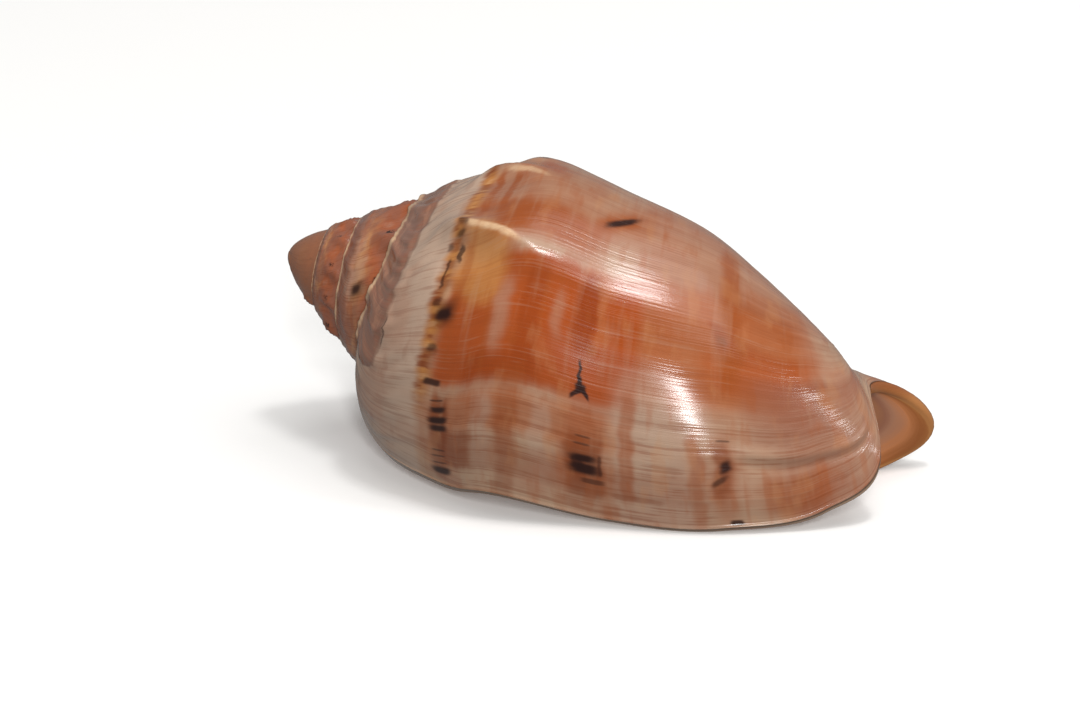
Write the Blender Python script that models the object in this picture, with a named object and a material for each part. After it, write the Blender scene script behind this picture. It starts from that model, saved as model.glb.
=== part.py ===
"""Volute shell: one natural piece, lying mouth down on a flat surface.

The shell is one growing mouth edge swept backwards in time round a straight
axis.  Two numbers place every point of the outside:

    turns   how long ago that bit grew, in turns round the axis (0 = the lip)
    along   where it lies on the mouth's edge, from the suture (0) over the
            shoulder, belly and front notch to the pillar's foot (1)

The inside is the same sweep set in by the wall, closed a turn and a third
deep.  Lengths are millimetres until the mesh is made, which is in metres.
World frame: apex towards -X, front canal towards +X, lip down and towards -Y,
resting on z = 0 on the lip, the last whorl's underside and the front tip.
"""

import math

import bpy
import numpy as np
from mathutils import Matrix

# --- the mouth's edge -----------------------------------------------------
# name, place along the edge, radius from the axis and height from the apex in
# mm, lag in degrees: how far behind the suture's end this point stands
MOUTH_EDGE = (
    ("suture", 0.00, 12.8, 15.6, 0.0),
    ("ramp", 0.10, 17.5, 23.5, -14.0),
    ("shoulder", 0.20, 25.25, 40.8, 0.0),
    ("upper side", 0.28, 27.8, 46.4, 10.6),
    ("belly", 0.40, 26.8, 58.8, 12.9),
    ("lower side", 0.52, 24.2, 72.4, 17.9),
    ("front corner", 0.62, 18.4, 83.5, 26.9),
    ("lip's front end", 0.70, 13.2, 87.8, 50.0),
    ("notch", 0.76, 9.75, 83.3, 94.2),
    ("notch's far side", 0.82, 8.3, 82.9, 127.0),
    ("tip", 0.88, 7.1, 89.6, 195.5),
    ("pillar's edge", 0.94, 5.6, 84.8, 264.0),
    ("pillar's foot", 1.00, 4.2, 76.0, 360.0),
)
FULL_TURN = 360.0

# --- growth ---------------------------------------------------------------
LAST_GROWTH = 2.02  # size of the mouth against one turn earlier, now
FIRST_GROWTH = 1.47  # the same when the bud was finished
BUD_START = 3.0  # turns back to the bud's last edge
BUD_END = 4.2  # turns back to the bud's middle, which is the apex
SUTURE_NOW = 0.175  # where the last whorl sits on the one before it
SUTURE_BEFORE = 0.272  # the same, further back
SUTURE_CLIMB = (1.0, 1.6)  # turns back between which it climbed
SHOULDER = 0.20
RAMP_LEAD = (0.78, 0.87)  # how the ramp leaves the suture: outward, then forward
RAMP_LEAD_LIP = (1.36, 0.02)  # the same at the lip, where it swells
RAMP_LEAD_TURNS = 0.29
LIP_CLIMB = 10.7  # how far the ramp climbs towards the apex at the lip, mm
LIP_CLIMB_TURNS = 0.6
LIP_CLIMB_ALONG = 0.45
APEX_BLUNT = 2.5  # radius at which the spire turns into its blunt end, mm
APEX_SLOPE = 0.59

# --- knobs on the shoulder ------------------------------------------------
KNOBS_PER_TURN = 11
KNOB_PHASE = 0.254  # turns back to the sharpest knob
KNOB_HEIGHT = 1.7  # mm, on the last whorl
KNOB_ALONG = 0.205
KNOB_REACH = 0.10
KNOB_FROM = (0.08, 0.24)  # turns back over which the knobs come up
KNOB_SHARP = 4.0

# --- the wall and the inside ----------------------------------------------
WALL = ((0.0, 1.7), (0.20, 2.1), (0.45, 2.2), (0.62, 1.9), (0.76, 1.5), (0.88, 1.3), (1.0, 0.7))
INNER_RELIEF = 0.25  # how much of the knobs shows on the inside of the wall
GLAZE = 0.45  # enamel laid on the whorl inside the mouth, mm
REAR_CORNER = 0.035  # from the suture to the inside's rear corner, on the lip
REAR_CORNER_INNER = 0.07  # the same, on the whorl that the lip sits on
REAR_FADE = 0.35  # over this much of the edge the columns slide back into place
CANAL_FROM = 0.64  # place on the edge where the canal's floor begins
CANAL_TURNS = 0.20
DEPTH_TURNS = 1.35
PLAITS = 4  # folds on the pillar
PLAIT_SPAN = (0.64, 0.80)
PLAIT_HEIGHT = 0.7
PLAIT_RISE = 0.03  # turns in from the edge over which the folds come up
PLAIT_END = (0.7, 1.0)  # turns in over which they die out again
RIM_ROUND = 0.75  # how far the lip's edge bulges, share of half the wall
RIM_HALF = 1.1  # mm, the most of the wall that counts for the bulge
RIM_FADE = 0.08  # the bulge dies out this near to either end of the edge

# --- mesh -----------------------------------------------------------------
ROWS_PER_TURN = 36
EDGE_COLUMNS = 8  # from the suture to where the next whorl sits on it
SIDE_COLUMNS = 14  # from there to the first fold of the pillar
PLAIT_COLUMNS = 16
FOOT_COLUMNS = 6
DEPTH_LOOPS = 24
RIM_LOOPS = 2

# --- how it lies ----------------------------------------------------------
REST_ROLL = 34.3  # degrees about the long axis, lip downward
REST_PITCH = 13.1  # degrees, front end downward

MM = 0.001
SHELL_COLOUR = (0.55, 0.20, 0.08, 1.0)


def smooth(x):
    """Ease from 0 to 1 as x goes from 0 to 1."""
    x = np.clip(x, 0.0, 1.0)
    return x * x * (3.0 - 2.0 * x)


def through_points(x, places, values):
    """A smooth curve through the given values, with the slopes of their neighbours."""
    places = np.asarray(places, float)
    values = np.asarray(values, float)
    steps = np.diff(places)
    slopes = np.diff(values) / steps
    tangents = np.empty_like(values)
    tangents[1:-1] = (slopes[:-1] * steps[1:] + slopes[1:] * steps[:-1]) / (steps[:-1] + steps[1:])
    tangents[0] = 1.5 * slopes[0] - 0.5 * tangents[1]
    tangents[-1] = 1.5 * slopes[-1] - 0.5 * tangents[-2]
    k = np.clip(np.searchsorted(places, x) - 1, 0, len(places) - 2)
    h = steps[k]
    u = (x - places[k]) / h
    start = values[k] * (1.0 + 2.0 * u) * (1.0 - u) ** 2 + tangents[k] * h * u * (1.0 - u) ** 2
    end = values[k + 1] * u * u * (3.0 - 2.0 * u) + tangents[k + 1] * h * u * u * (u - 1.0)
    return start + end


PLACES = [row[1] for row in MOUTH_EDGE]
RADII = [row[2] for row in MOUTH_EDGE]
HEIGHTS = [row[3] for row in MOUTH_EDGE]
LAGS = [row[4] for row in MOUTH_EDGE]


def size_then(turns):
    """Size of the mouth that many turns ago, against the mouth now."""
    last = math.log(LAST_GROWTH)
    first = math.log(FIRST_GROWTH)
    regular = np.exp(-(last * turns - (last - first) * turns * turns / (2.0 * BUD_START)))
    bud = np.clip((turns - BUD_START) / (BUD_END - BUD_START), 0.0, 1.0)
    return regular * np.sqrt(1.0 - bud * bud)


def suture_place(turns):
    """Where on the whorl that old the next whorl's suture lies."""
    climb = smooth((turns - SUTURE_CLIMB[0]) / (SUTURE_CLIMB[1] - SUTURE_CLIMB[0]))
    return SUTURE_NOW + (SUTURE_BEFORE - SUTURE_NOW) * climb


def plain_whorl(turns, along):
    """Radius and height before the whorl bends in to its suture."""
    size = size_then(turns)
    radius = size * through_points(along, PLACES, RADII)
    height = size * through_points(along, PLACES, HEIGHTS)
    climb = smooth(1.0 - turns / LIP_CLIMB_TURNS) * smooth(1.0 - along / LIP_CLIMB_ALONG)
    return radius, height - LIP_CLIMB * climb


def lag_of(along):
    return through_points(along, PLACES, LAGS)


def knob(turns, along):
    """How far the knobs stand out, mm."""
    round_axis = np.cos(math.pi * KNOBS_PER_TURN * (turns - KNOB_PHASE)) ** 2
    peak = np.exp(-KNOB_SHARP * (1.0 - round_axis))
    across = smooth(1.0 - np.abs(along - KNOB_ALONG) / KNOB_REACH)
    grown = smooth((turns - KNOB_FROM[0]) / (KNOB_FROM[1] - KNOB_FROM[0]))
    return KNOB_HEIGHT * size_then(turns) * peak * across * grown


def ramp(turns, along):
    """Radius and height on the ramp, drawn from the suture out to the shoulder."""
    under = suture_place(turns + 1.0)
    start = plain_whorl(turns + 1.0, under)
    start = (start[0] + knob(turns + 1.0, under), start[1])
    end = plain_whorl(turns, np.asarray(SHOULDER))
    step = 1e-3
    beyond = plain_whorl(turns, np.asarray(SHOULDER + step))
    before = plain_whorl(turns, np.asarray(SHOULDER - step))
    u = np.minimum(along / SHOULDER, 1.0)
    drawn = []
    young = smooth(1.0 - turns / RAMP_LEAD_TURNS)
    for axis, older in enumerate(RAMP_LEAD):
        lead = older + (RAMP_LEAD_LIP[axis] - older) * young
        leave = lead * (end[axis] - start[axis])
        arrive = (beyond[axis] - before[axis]) * SHOULDER / (2.0 * step)
        near = start[axis] * (1.0 + 2.0 * u) * (1.0 - u) ** 2 + leave * u * (1.0 - u) ** 2
        far = end[axis] * u * u * (3.0 - 2.0 * u) + arrive * u * u * (u - 1.0)
        drawn.append(near + far)
    return drawn


def surface(turns, along, relief=1.0):
    """The shell's outside: points in mm, the axis along z, the apex at z = 0."""
    turns, along = np.broadcast_arrays(np.asarray(turns, float), np.asarray(along, float))
    radius, height = plain_whorl(turns, along)
    ramp_radius, ramp_height = ramp(turns, along)
    on_ramp = along < SHOULDER
    radius = np.where(on_ramp, ramp_radius, radius) + relief * knob(turns, along)
    height = np.where(on_ramp, ramp_height, height)
    height = height + (np.sqrt(radius * radius + APEX_BLUNT**2) - radius - APEX_BLUNT) / APEX_SLOPE
    angle = -2.0 * math.pi * turns - np.radians(lag_of(along))
    return np.stack([radius * np.cos(angle), radius * np.sin(angle), height], -1)


def outward(turns, along, relief=1.0):
    """Unit normal of the outside."""
    step = 1e-3
    back = surface(turns + step, along, relief) - surface(turns - step, along, relief)
    low = np.maximum(along - step, 0.0)
    high = np.minimum(along + step, 1.0)
    forward = surface(turns, high, relief) - surface(turns, low, relief)
    normal = np.cross(forward, back)
    return normal / np.linalg.norm(normal, axis=-1, keepdims=True)


def turns_to_meridian(along):
    """Turns back from the edge to the half plane that closes the mouth behind."""
    lag = lag_of(along) - lag_of(np.asarray(SUTURE_NOW))
    return np.where(along <= SUTURE_NOW, 1.0, 1.0 - lag / FULL_TURN)


def edge_places():
    """Columns along the edge, with SUTURE_NOW on one of them."""
    rear = np.linspace(0.0, SUTURE_NOW, EDGE_COLUMNS + 1)
    side = np.linspace(SUTURE_NOW, PLAIT_SPAN[0], SIDE_COLUMNS + 1)
    plaits = np.linspace(PLAIT_SPAN[0], PLAIT_SPAN[1], PLAIT_COLUMNS + 1)
    foot = np.linspace(PLAIT_SPAN[1], 1.0, FOOT_COLUMNS + 1)
    return np.concatenate([rear, side[1:], plaits[1:], foot[1:]])


def plait(along):
    """Four low oblique folds round the pillar, 0 to 1."""
    start, end = PLAIT_SPAN
    place = (along - start) / (end - start)
    inside = (place > 0.0) & (place < 1.0)
    return np.where(inside, np.sin(math.pi * PLAITS * place) ** 2, 0.0)


def lip_inside(depth, along):
    """The inner face of the outer wall, depth turns in from the edge."""
    wall = through_points(along, [row[0] for row in WALL], [row[1] for row in WALL])
    inset = (wall * size_then(depth))[..., None]
    return surface(depth, along, INNER_RELIEF) - outward(depth, along, INNER_RELIEF) * inset


def pillar_face(depth, along, lift_share=1.0):
    """The glazed face of the whorl and pillar on the mouth's other side."""
    turns = turns_to_meridian(along) + depth
    end = smooth((depth - PLAIT_END[0]) / (PLAIT_END[1] - PLAIT_END[0]))
    folds = PLAIT_HEIGHT * plait(along) * smooth(depth / PLAIT_RISE) * (1.0 - end)
    lift = lift_share * (GLAZE + folds) * size_then(depth)
    return surface(turns, along) + outward(turns, along) * lift[..., None]


def rear_shift(along, start, amount):
    """Slide the columns next to the suture away from it, keeping their order."""
    return along + amount * (1.0 - smooth((along - start) / REAR_FADE))


def inner_loop(depth, places):
    """One closed loop of the inside: rear corner, lip, canal, foot, pillar, back."""
    depth = np.asarray(float(depth))
    lip = places[places <= CANAL_FROM]
    canal = places[places > CANAL_FROM]
    pillar = places[EDGE_COLUMNS + 1 : -1][::-1]
    behind = float(suture_place(1.0 + depth)) + REAR_CORNER_INNER
    corner = pillar_face(depth, np.asarray(behind))
    lip_slid = rear_shift(lip, 0.0, REAR_CORNER)
    lip_points = lip_inside(depth, lip_slid)
    fade = (1.0 - smooth(lip / REAR_FADE))[:, None]
    lip_points = lip_points + fade * (corner - lip_points[0])
    canal_points = canal_floor(depth, canal)
    pillar_slid = rear_shift(pillar, SUTURE_NOW, behind - SUTURE_NOW)
    return np.concatenate([lip_points, canal_points, pillar_face(depth, pillar_slid)])


def canal_floor(depth, along):
    """The spoon-shaped floor of the front canal, ruled from rim to pillar."""
    share = ((along - CANAL_FROM) / (1.0 - CANAL_FROM))[:, None]
    reach = min(float(depth) / CANAL_TURNS, 1.0)
    deep = max(float(depth), CANAL_TURNS)
    first = lip_inside(depth, np.asarray(CANAL_FROM))
    last = pillar_face(depth, np.asarray(1.0))
    floor_first = lip_inside(np.asarray(deep), np.asarray(CANAL_FROM))
    floor_last = pillar_face(np.asarray(deep), np.asarray(1.0))
    floor = floor_first + share * (floor_last - floor_first)
    if reach >= 1.0:
        return floor
    rim = lip_inside(np.asarray(0.0), along)
    rim_first = lip_inside(np.asarray(0.0), np.asarray(CANAL_FROM))
    rim_last = pillar_face(np.asarray(0.0), np.asarray(1.0))
    rim = rim + share * (rim_last - lip_inside(np.asarray(0.0), np.asarray(1.0)))
    ruled = rim + reach * (floor - rim)
    first_chord = rim_first + reach * (floor_first - rim_first)
    last_chord = rim_last + reach * (floor_last - rim_last)
    return ruled + (1.0 - share) * (first - first_chord) + share * (last - last_chord)


def rim_loops(places, count):
    """Loops that round the mouth's edge from the outside to the inside."""
    inner = inner_loop(0.0, places)[: len(places)]
    outer = surface(0.0, places)
    pillar = places[EDGE_COLUMNS + 1 : -1][::-1]
    forward = -(surface(1e-3, places) - surface(-1e-3, places))
    forward = forward / np.linalg.norm(forward, axis=-1, keepdims=True)
    half = 0.5 * np.linalg.norm(outer - inner, axis=-1, keepdims=True)
    fade = smooth(places / RIM_FADE) * smooth((1.0 - places) / RIM_FADE)
    bulge = RIM_ROUND * np.minimum(half, RIM_HALF) * fade[:, None] * forward
    near_corner = (1.0 - smooth(places / REAR_FADE))[:, None]
    zero = np.asarray(0.0)
    loops = []
    for k in range(1, count + 1):
        angle = math.pi * k / (count + 1)
        share = 0.5 - 0.5 * math.cos(angle)
        lip = outer + share * (inner - outer) + math.sin(angle) * bulge
        raised = math.sqrt(share)
        corner = pillar_face(zero, np.asarray(SUTURE_NOW + share * REAR_CORNER_INNER), raised)
        lip = lip + near_corner * (corner - lip[0])
        slid = rear_shift(pillar, SUTURE_NOW, share * REAR_CORNER_INNER)
        loops.append(np.concatenate([lip, pillar_face(zero, slid, raised)]))
    return loops


def depth_steps():
    """Depths of the inner loops, close together near the rim."""
    share = np.linspace(0.0, 1.0, DEPTH_LOOPS)
    return DEPTH_TURNS * share**1.25


class Mesh:
    """Points and faces of one closed surface, built up loop by loop."""

    def __init__(self):
        self.points = []
        self.faces = []

    def add(self, points):
        first = len(self.points)
        self.points.extend(tuple(float(value) for value in point) for point in points)
        return list(range(first, len(self.points)))

    def face(self, *corners):
        """Add a face, leaving out corners that fall on one point."""
        kept = [corner for n, corner in enumerate(corners) if corner != corners[n - 1]]
        if len(set(kept)) >= 3:
            self.faces.append(kept)

    def band(self, first, second):
        """Join two closed loops of points with four-sided faces."""
        for k, corner in enumerate(first):
            following = (k + 1) % len(first)
            self.face(corner, second[k], second[following], first[following])


def add_outside(mesh, places):
    """The whole outer skin. Returns the loop of points round the mouth."""
    rows = int(round(ROWS_PER_TURN * BUD_END))
    pole = mesh.add(surface(np.array([BUD_END]), np.array([0.0])))[0]
    ids = {}
    for i in range(rows):
        turns = i / ROWS_PER_TURN
        if i <= ROWS_PER_TURN:
            along = places[1:] if i == 0 else places[1:-1]
            back = np.where(along <= SUTURE_NOW, turns, turns * turns_to_meridian(along))
        else:
            along = places[1 : EDGE_COLUMNS + 1] * suture_place(np.asarray(turns)) / SUTURE_NOW
            back = np.full(len(along), turns)
        for j, corner in enumerate(mesh.add(surface(back, along)), start=1):
            ids[i, j] = corner
    foot = len(places) - 1
    for i in range(ROWS_PER_TURN + 1):
        ids[i, foot] = ids[0, foot]

    def at(i, j):
        if j == 0:
            i, j = i + ROWS_PER_TURN, EDGE_COLUMNS
        return pole if i >= rows else ids[i, j]

    for i in range(rows):
        last = foot if i < ROWS_PER_TURN else EDGE_COLUMNS
        for j in range(last):
            mesh.face(at(i, j), at(i, j + 1), at(i + 1, j + 1), at(i + 1, j))
    edge = [at(0, j) for j in range(foot + 1)]
    behind = [at(ROWS_PER_TURN, j) for j in range(foot - 1, EDGE_COLUMNS, -1)]
    return edge + behind


def add_inside(mesh, places, mouth):
    """The rounded rim, the inner faces and the closed deep end."""
    loop = mouth
    for points in rim_loops(places, RIM_LOOPS):
        following = mesh.add(points)
        mesh.band(loop, following)
        loop = following
    for depth in depth_steps():
        following = mesh.add(inner_loop(depth, places))
        mesh.band(loop, following)
        loop = following
    middle = np.mean([mesh.points[corner] for corner in loop], axis=0)
    centre = mesh.add([middle])[0]
    for k, corner in enumerate(loop):
        mesh.face(corner, centre, loop[(k + 1) % len(loop)])


def shell_mesh():
    places = edge_places()
    mesh = Mesh()
    mouth = add_outside(mesh, places)
    add_inside(mesh, places, mouth)
    return mesh


def resting_frame():
    """Lay the axis along X with the lip to -Y, then turn the shell onto its mouth."""
    along_x = Matrix(((0.0, 0.0, 1.0), (-1.0, 0.0, 0.0), (0.0, -1.0, 0.0)))
    roll = Matrix.Rotation(math.radians(REST_ROLL), 3, "X")
    pitch = Matrix.Rotation(math.radians(REST_PITCH), 3, "Y")
    return np.array(pitch @ roll @ along_x)


def shell_material():
    material = bpy.data.materials.new("polished_shell")
    material.use_nodes = True
    shader = material.node_tree.nodes["Principled BSDF"]
    shader.inputs["Base Color"].default_value = SHELL_COLOUR
    shader.inputs["Roughness"].default_value = 0.28
    shader.inputs["Metallic"].default_value = 0.0
    return material


def make_shell():
    source = shell_mesh()
    points = np.array(source.points) @ resting_frame().T
    low = points.min(axis=0)
    high = points.max(axis=0)
    points -= np.array([(low[0] + high[0]) / 2.0, (low[1] + high[1]) / 2.0, low[2]])
    data = bpy.data.meshes.new("shell")
    data.from_pydata((points * MM).tolist(), [], source.faces)
    data.validate()
    data.shade_smooth()
    data.materials.append(shell_material())
    shell = bpy.data.objects.new("shell", data)
    bpy.context.scene.collection.objects.link(shell)
    return shell


def main():
    for existing in list(bpy.data.objects):
        bpy.data.objects.remove(existing)
    make_shell()


main()
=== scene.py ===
"""Volute shell: one grown piece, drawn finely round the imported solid.

The outside is one growing mouth edge swept backwards in time.  Two numbers
place every point of it, and the finish is painted in the same two numbers:

    turns   how long ago that bit grew, in turns round the axis (0 = the lip)
    along   where it lies on the mouth's edge, from the suture (0) over the
            shoulder, belly and front notch to the pillar's foot (1)

Lengths are millimetres until the mesh is made, which is in metres.
"""

import math

import bpy
import numpy as np
from bpy.props import FloatProperty, FloatVectorProperty, IntProperty, PointerProperty
from mathutils import Matrix, Vector


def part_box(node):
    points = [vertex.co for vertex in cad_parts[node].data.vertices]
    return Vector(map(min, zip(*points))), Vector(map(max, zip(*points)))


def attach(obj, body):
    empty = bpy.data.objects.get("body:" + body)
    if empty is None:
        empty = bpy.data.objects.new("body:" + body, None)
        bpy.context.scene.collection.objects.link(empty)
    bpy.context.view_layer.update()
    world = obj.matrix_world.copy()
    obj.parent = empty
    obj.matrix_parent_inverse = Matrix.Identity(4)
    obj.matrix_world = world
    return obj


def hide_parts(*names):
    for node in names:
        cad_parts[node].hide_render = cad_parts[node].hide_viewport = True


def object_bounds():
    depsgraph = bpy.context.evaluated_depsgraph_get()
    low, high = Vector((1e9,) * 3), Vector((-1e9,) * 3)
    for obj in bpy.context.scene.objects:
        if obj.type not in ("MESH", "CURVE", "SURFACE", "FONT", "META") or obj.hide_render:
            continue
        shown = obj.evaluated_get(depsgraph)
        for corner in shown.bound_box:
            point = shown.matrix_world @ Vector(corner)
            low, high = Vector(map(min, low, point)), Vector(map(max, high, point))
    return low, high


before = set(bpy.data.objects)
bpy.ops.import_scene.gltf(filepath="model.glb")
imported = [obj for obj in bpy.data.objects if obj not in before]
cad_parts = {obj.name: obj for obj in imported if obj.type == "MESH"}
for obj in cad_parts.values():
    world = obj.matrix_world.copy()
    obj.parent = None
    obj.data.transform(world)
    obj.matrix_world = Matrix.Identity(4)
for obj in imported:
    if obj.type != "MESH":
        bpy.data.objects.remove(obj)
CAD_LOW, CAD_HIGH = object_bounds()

bl_info = {
    "name": "Volute shell",
    "version": (1, 0, 0),
    "blender": (4, 5, 0),
    "location": "3D View > Sidebar > Shell",
    "description": "Grows a polished volute shell and sets up a plain studio for it",
    "category": "Add Mesh",
}

MM = 0.001


def linear(code):
    """An sRGB hex colour as a linear colour with full alpha."""
    channels = [int(code[k : k + 2], 16) / 255.0 for k in (1, 3, 5)]
    straight = [c / 12.92 if c <= 0.04045 else ((c + 0.055) / 1.055) ** 2.4 for c in channels]
    return (*straight, 1.0)


# --- the mouth's edge -----------------------------------------------------
# name, place along the edge, radius from the axis and height from the apex in
# mm, lag in degrees: how far behind the suture's end this point stands
MOUTH_EDGE = (
    ("suture", 0.00, 12.8, 15.6, 0.0),
    ("ramp", 0.10, 17.5, 23.5, -14.0),
    ("shoulder", 0.20, 25.25, 40.8, 0.0),
    ("upper side", 0.28, 27.8, 46.4, 10.6),
    ("belly", 0.40, 26.8, 58.8, 12.9),
    ("lower side", 0.52, 24.2, 72.4, 17.9),
    ("front corner", 0.62, 18.4, 83.5, 26.9),
    ("lip's front end", 0.70, 13.2, 87.8, 50.0),
    ("notch", 0.76, 9.75, 83.3, 94.2),
    ("notch's far side", 0.82, 8.3, 82.9, 127.0),
    ("tip", 0.88, 7.1, 89.6, 195.5),
    ("pillar's edge", 0.94, 5.6, 84.8, 264.0),
    ("pillar's foot", 1.00, 4.2, 76.0, 360.0),
)
PLACES = [row[1] for row in MOUTH_EDGE]
RADII = [row[2] for row in MOUTH_EDGE]
HEIGHTS = [row[3] for row in MOUTH_EDGE]
LAGS = [row[4] for row in MOUTH_EDGE]
FULL_TURN = 360.0
STEP = 1e-3  # how far apart slopes are read, in turns or along the edge

# --- growth ---------------------------------------------------------------
LAST_GROWTH = 2.02  # size of the mouth against one turn earlier, now
FIRST_GROWTH = 1.47  # the same when the bud was finished
BUD_START = 3.0  # turns back to the bud's last edge
BUD_END = 4.2  # turns back to the bud's middle, which is the apex
SUTURE_NOW = 0.175  # where the last whorl sits on the one before it
SUTURE_BEFORE = 0.272  # the same, further back
SUTURE_CLIMB = (1.0, 1.6)  # turns back between which it climbed
SHOULDER = 0.20
RAMP_LEAD = (0.78, 0.87)  # how the ramp leaves the suture: outward, then forward
RAMP_LEAD_LIP = (1.36, 0.02)  # the same at the lip, where it swells
RAMP_LEAD_TURNS = 0.29  # turns back over which the swelling dies out
LIP_CLIMB = 10.7  # how far the ramp climbs towards the apex at the lip, mm
LIP_CLIMB_TURNS = 0.6  # turns back over which the climb dies out
LIP_CLIMB_ALONG = 0.45  # how far along the edge it reaches
APEX_BLUNT = 2.5  # radius at which the spire turns into its blunt end, mm
APEX_SLOPE = 0.59  # radius against height of the spire's side near the apex

# --- knobs on the shoulder, as in the solid -------------------------------
KNOBS_PER_TURN = 11
KNOB_PHASE = 0.254  # turns back to the sharpest knob
KNOB_HEIGHT = 1.7  # mm, on the last whorl
KNOB_ALONG = 0.205
KNOB_REACH = 0.10
KNOB_FROM = (0.08, 0.24)  # turns back over which the knobs come up
KNOB_SHARP = 4.0

# --- knobs as they grow ---------------------------------------------------
FIRST_KNOB = 0.246  # turns back from the lip
NEAR_KNOBS = (2.6, 1.9)  # heights in mm of the two youngest knobs
OLDER_KNOBS = (1.55, 0.35)  # height of an older one and how much it varies, mm
SPIRE_KNOBS = 0.9  # how much higher those of the spire stand, mm
SPIRE_KNOBS_FROM = (0.95, 1.25)  # turns back over which they grow higher
MOST_KNOBS = 40
KNOB_SEED = 7
KNOB_STRAY = 0.006  # how many turns an older knob strays from its place
KNOB_TOP = (0.2, 0.004)  # where along the edge an older knob tops out, and its stray
FIRST_TOP = 0.186  # where the youngest one does
KNOB_RISE = 0.05  # how far behind its top a knob comes up
OLDER_RIDGE = 0.15  # how far forward of its top an older knob is drawn out
FIRST_RIDGE = 0.24  # the same for the youngest one
KNOB_SLANT = 0.46
SLANT_SPAN = (-0.02, 0.12)  # behind and forward of its top, where a knob slants
RIDGE_WIDTH = (0.011, 0.06)  # width in turns at the top, and its gain going forward
RIDGE_CREST = (0.0022, 0.03)  # bluntness of the crest, told in the same way
RIDGE_WIDENS = 0.2  # how far forward both gain
KNOB_HOLLOW = 0.35  # depth of the hollow in front of a knob, against its height
HOLLOW_PLACE = (0.026, 0.018)  # turns from the crest to the hollow, and its half width

# --- layers of ripples: height in mm, waves round a turn, waves along, seed
WAVES = ((0.045, 150.0, 9.0, 11), (0.05, 42.0, 5.0, 12))
RAMP_WRINKLES = ((0.20, 110.0, 12.0, 13), (0.10, 230.0, 40.0, 16))
LIP_RIDGES = ((0.05, 200.0, 7.0, 14),)
CALLUS_WRINKLES = ((0.15, 190.0, 22.0, 5),)
FRINGE_WRINKLES = ((0.30, 48.0, 60.0, 6),)
# --- wandering lines: how far along the edge, waves round a turn, none, seed
RAGGED_EDGE = ((0.020, 70.0, 0.0, 3), (0.006, 260.0, 0.0, 4))
SEAM_WANDER = ((0.004, 90.0, 0.0, 15),)
# --- stretches: where it starts, how long it comes up, where it ends, dies out
RAMP_STRETCH = (0.02, 0.05, SHOULDER, 0.05)
LIP_STRETCH = (SHOULDER, 0.05, 0.7, 0.1)
CREASE_STRETCH = (0.535, 0.03, 0.71, 0.03)
SEAM_STRETCH = (0.165, 0.02, 0.245, 0.01)  # in turns
BUD_STRETCH = (2.85, 0.30, BUD_END, 0.26)  # in turns
# --- ridges and grooves: height in mm, middle, half width
CREASE_RIDGE = (0.30, 0.008, 0.006)  # turns behind the old lip
CREASE_GROOVE = (-0.40, 0.0, 0.005)  # turns behind the old lip
SEAM_GROOVE = (-0.35, 0.191, 0.004)  # along the edge
CALLUS_FRINGE = (1.0, 0.014, 0.010)  # along the edge
THIRD_KNOB = (0.9, 0.356, 0.018)  # in turns
THIRD_KNOB_RIDGE = (1.0, 0.25, 0.045)  # along the edge

# --- more of the fine relief ----------------------------------------------
OLD_LIP = 0.050  # turns back to where growth once paused, at the place below
OLD_LIP_ALONG = 0.60
OLD_LIP_LEAN = 0.10
LINES_LEAN = 0.25  # how the growth lines lean behind the shoulder
LINES_LEAN_SPAN = 0.1  # how far behind it they go on leaning
RIDGED_LIP = (0.10, 0.05)  # turns back over which the lip's ridges come up
CALLUS_REACH = 0.118  # how far along the edge the callus spreads
CALLUS_FROM = (0.065, 0.115)  # turns back over which it comes up
CALLUS_HEIGHT = 0.28  # mm
CALLUS_EDGE = 0.010  # how far along its front edge takes to come up
CALLUS_LAP = 0.012  # the same at the suture
WRINKLE_LEAN = 14.0 / 190.0  # turns that its wrinkles lean back, once along the edge
FRINGE_HEIGHT = 0.20  # mm
SUTURE_GROOVE = 0.30  # mm
SPIRE_SWELL = 0.85  # how much rounder the whorls of the spire are, mm
SPIRE_SWELL_FROM = (0.95, 1.15)  # turns back over which they grow rounder
BUD_SWELL = 0.80  # the same on the first whorls, mm

# --- the wall and the inside ----------------------------------------------
# place along the edge and thickness in mm
WALL = ((0.0, 1.7), (0.20, 2.1), (0.45, 2.2), (0.62, 1.9), (0.76, 1.2), (0.88, 0.8), (1.0, 0.7))
INNER_RELIEF = 0.25  # how much of the knobs shows on the inside of the wall
GLAZE = 0.45  # enamel laid on the whorl inside the mouth, mm
REAR_CORNER = 0.035  # from the suture to the inside's rear corner, on the lip
REAR_CORNER_INNER = 0.07  # the same, on the whorl that the lip sits on
REAR_FADE = 0.35  # over this much of the edge the columns slide back into place
CANAL_FROM = 0.64  # place on the edge where the canal's floor begins
CANAL_TURNS = 0.20  # turns in over which the floor deepens
DEPTH_TURNS = 1.35
DEEPEST = (1.0, 0.5, 1.4)  # turns, along and depth of the point that closes the inside
PLAITS = 4  # folds on the pillar
PLAIT_SPAN = (0.64, 0.80)
PLAIT_HEIGHT = 0.7  # mm
PLAIT_RISE = 0.03  # turns in from the edge over which the folds come up
PLAIT_END = (0.7, 1.0)  # turns in over which they die out again
RIM_ROUND = 0.75  # how far the lip's edge bulges, share of half the wall
RIM_HALF = 1.1  # mm, the most of the wall that counts for the bulge
RIM_FADE = 0.08  # the bulge dies out this near to either end of the edge
RIM_DEPTH = 0.004  # depth that is painted on the rounded edge
INSIDE_DEPTH = 0.005  # and on the first loop inside it

# --- how it lies, as in the solid -----------------------------------------
REST_ROLL = 34.3  # degrees about the long axis, lip downward
REST_PITCH = 13.1  # degrees, front end downward

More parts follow.
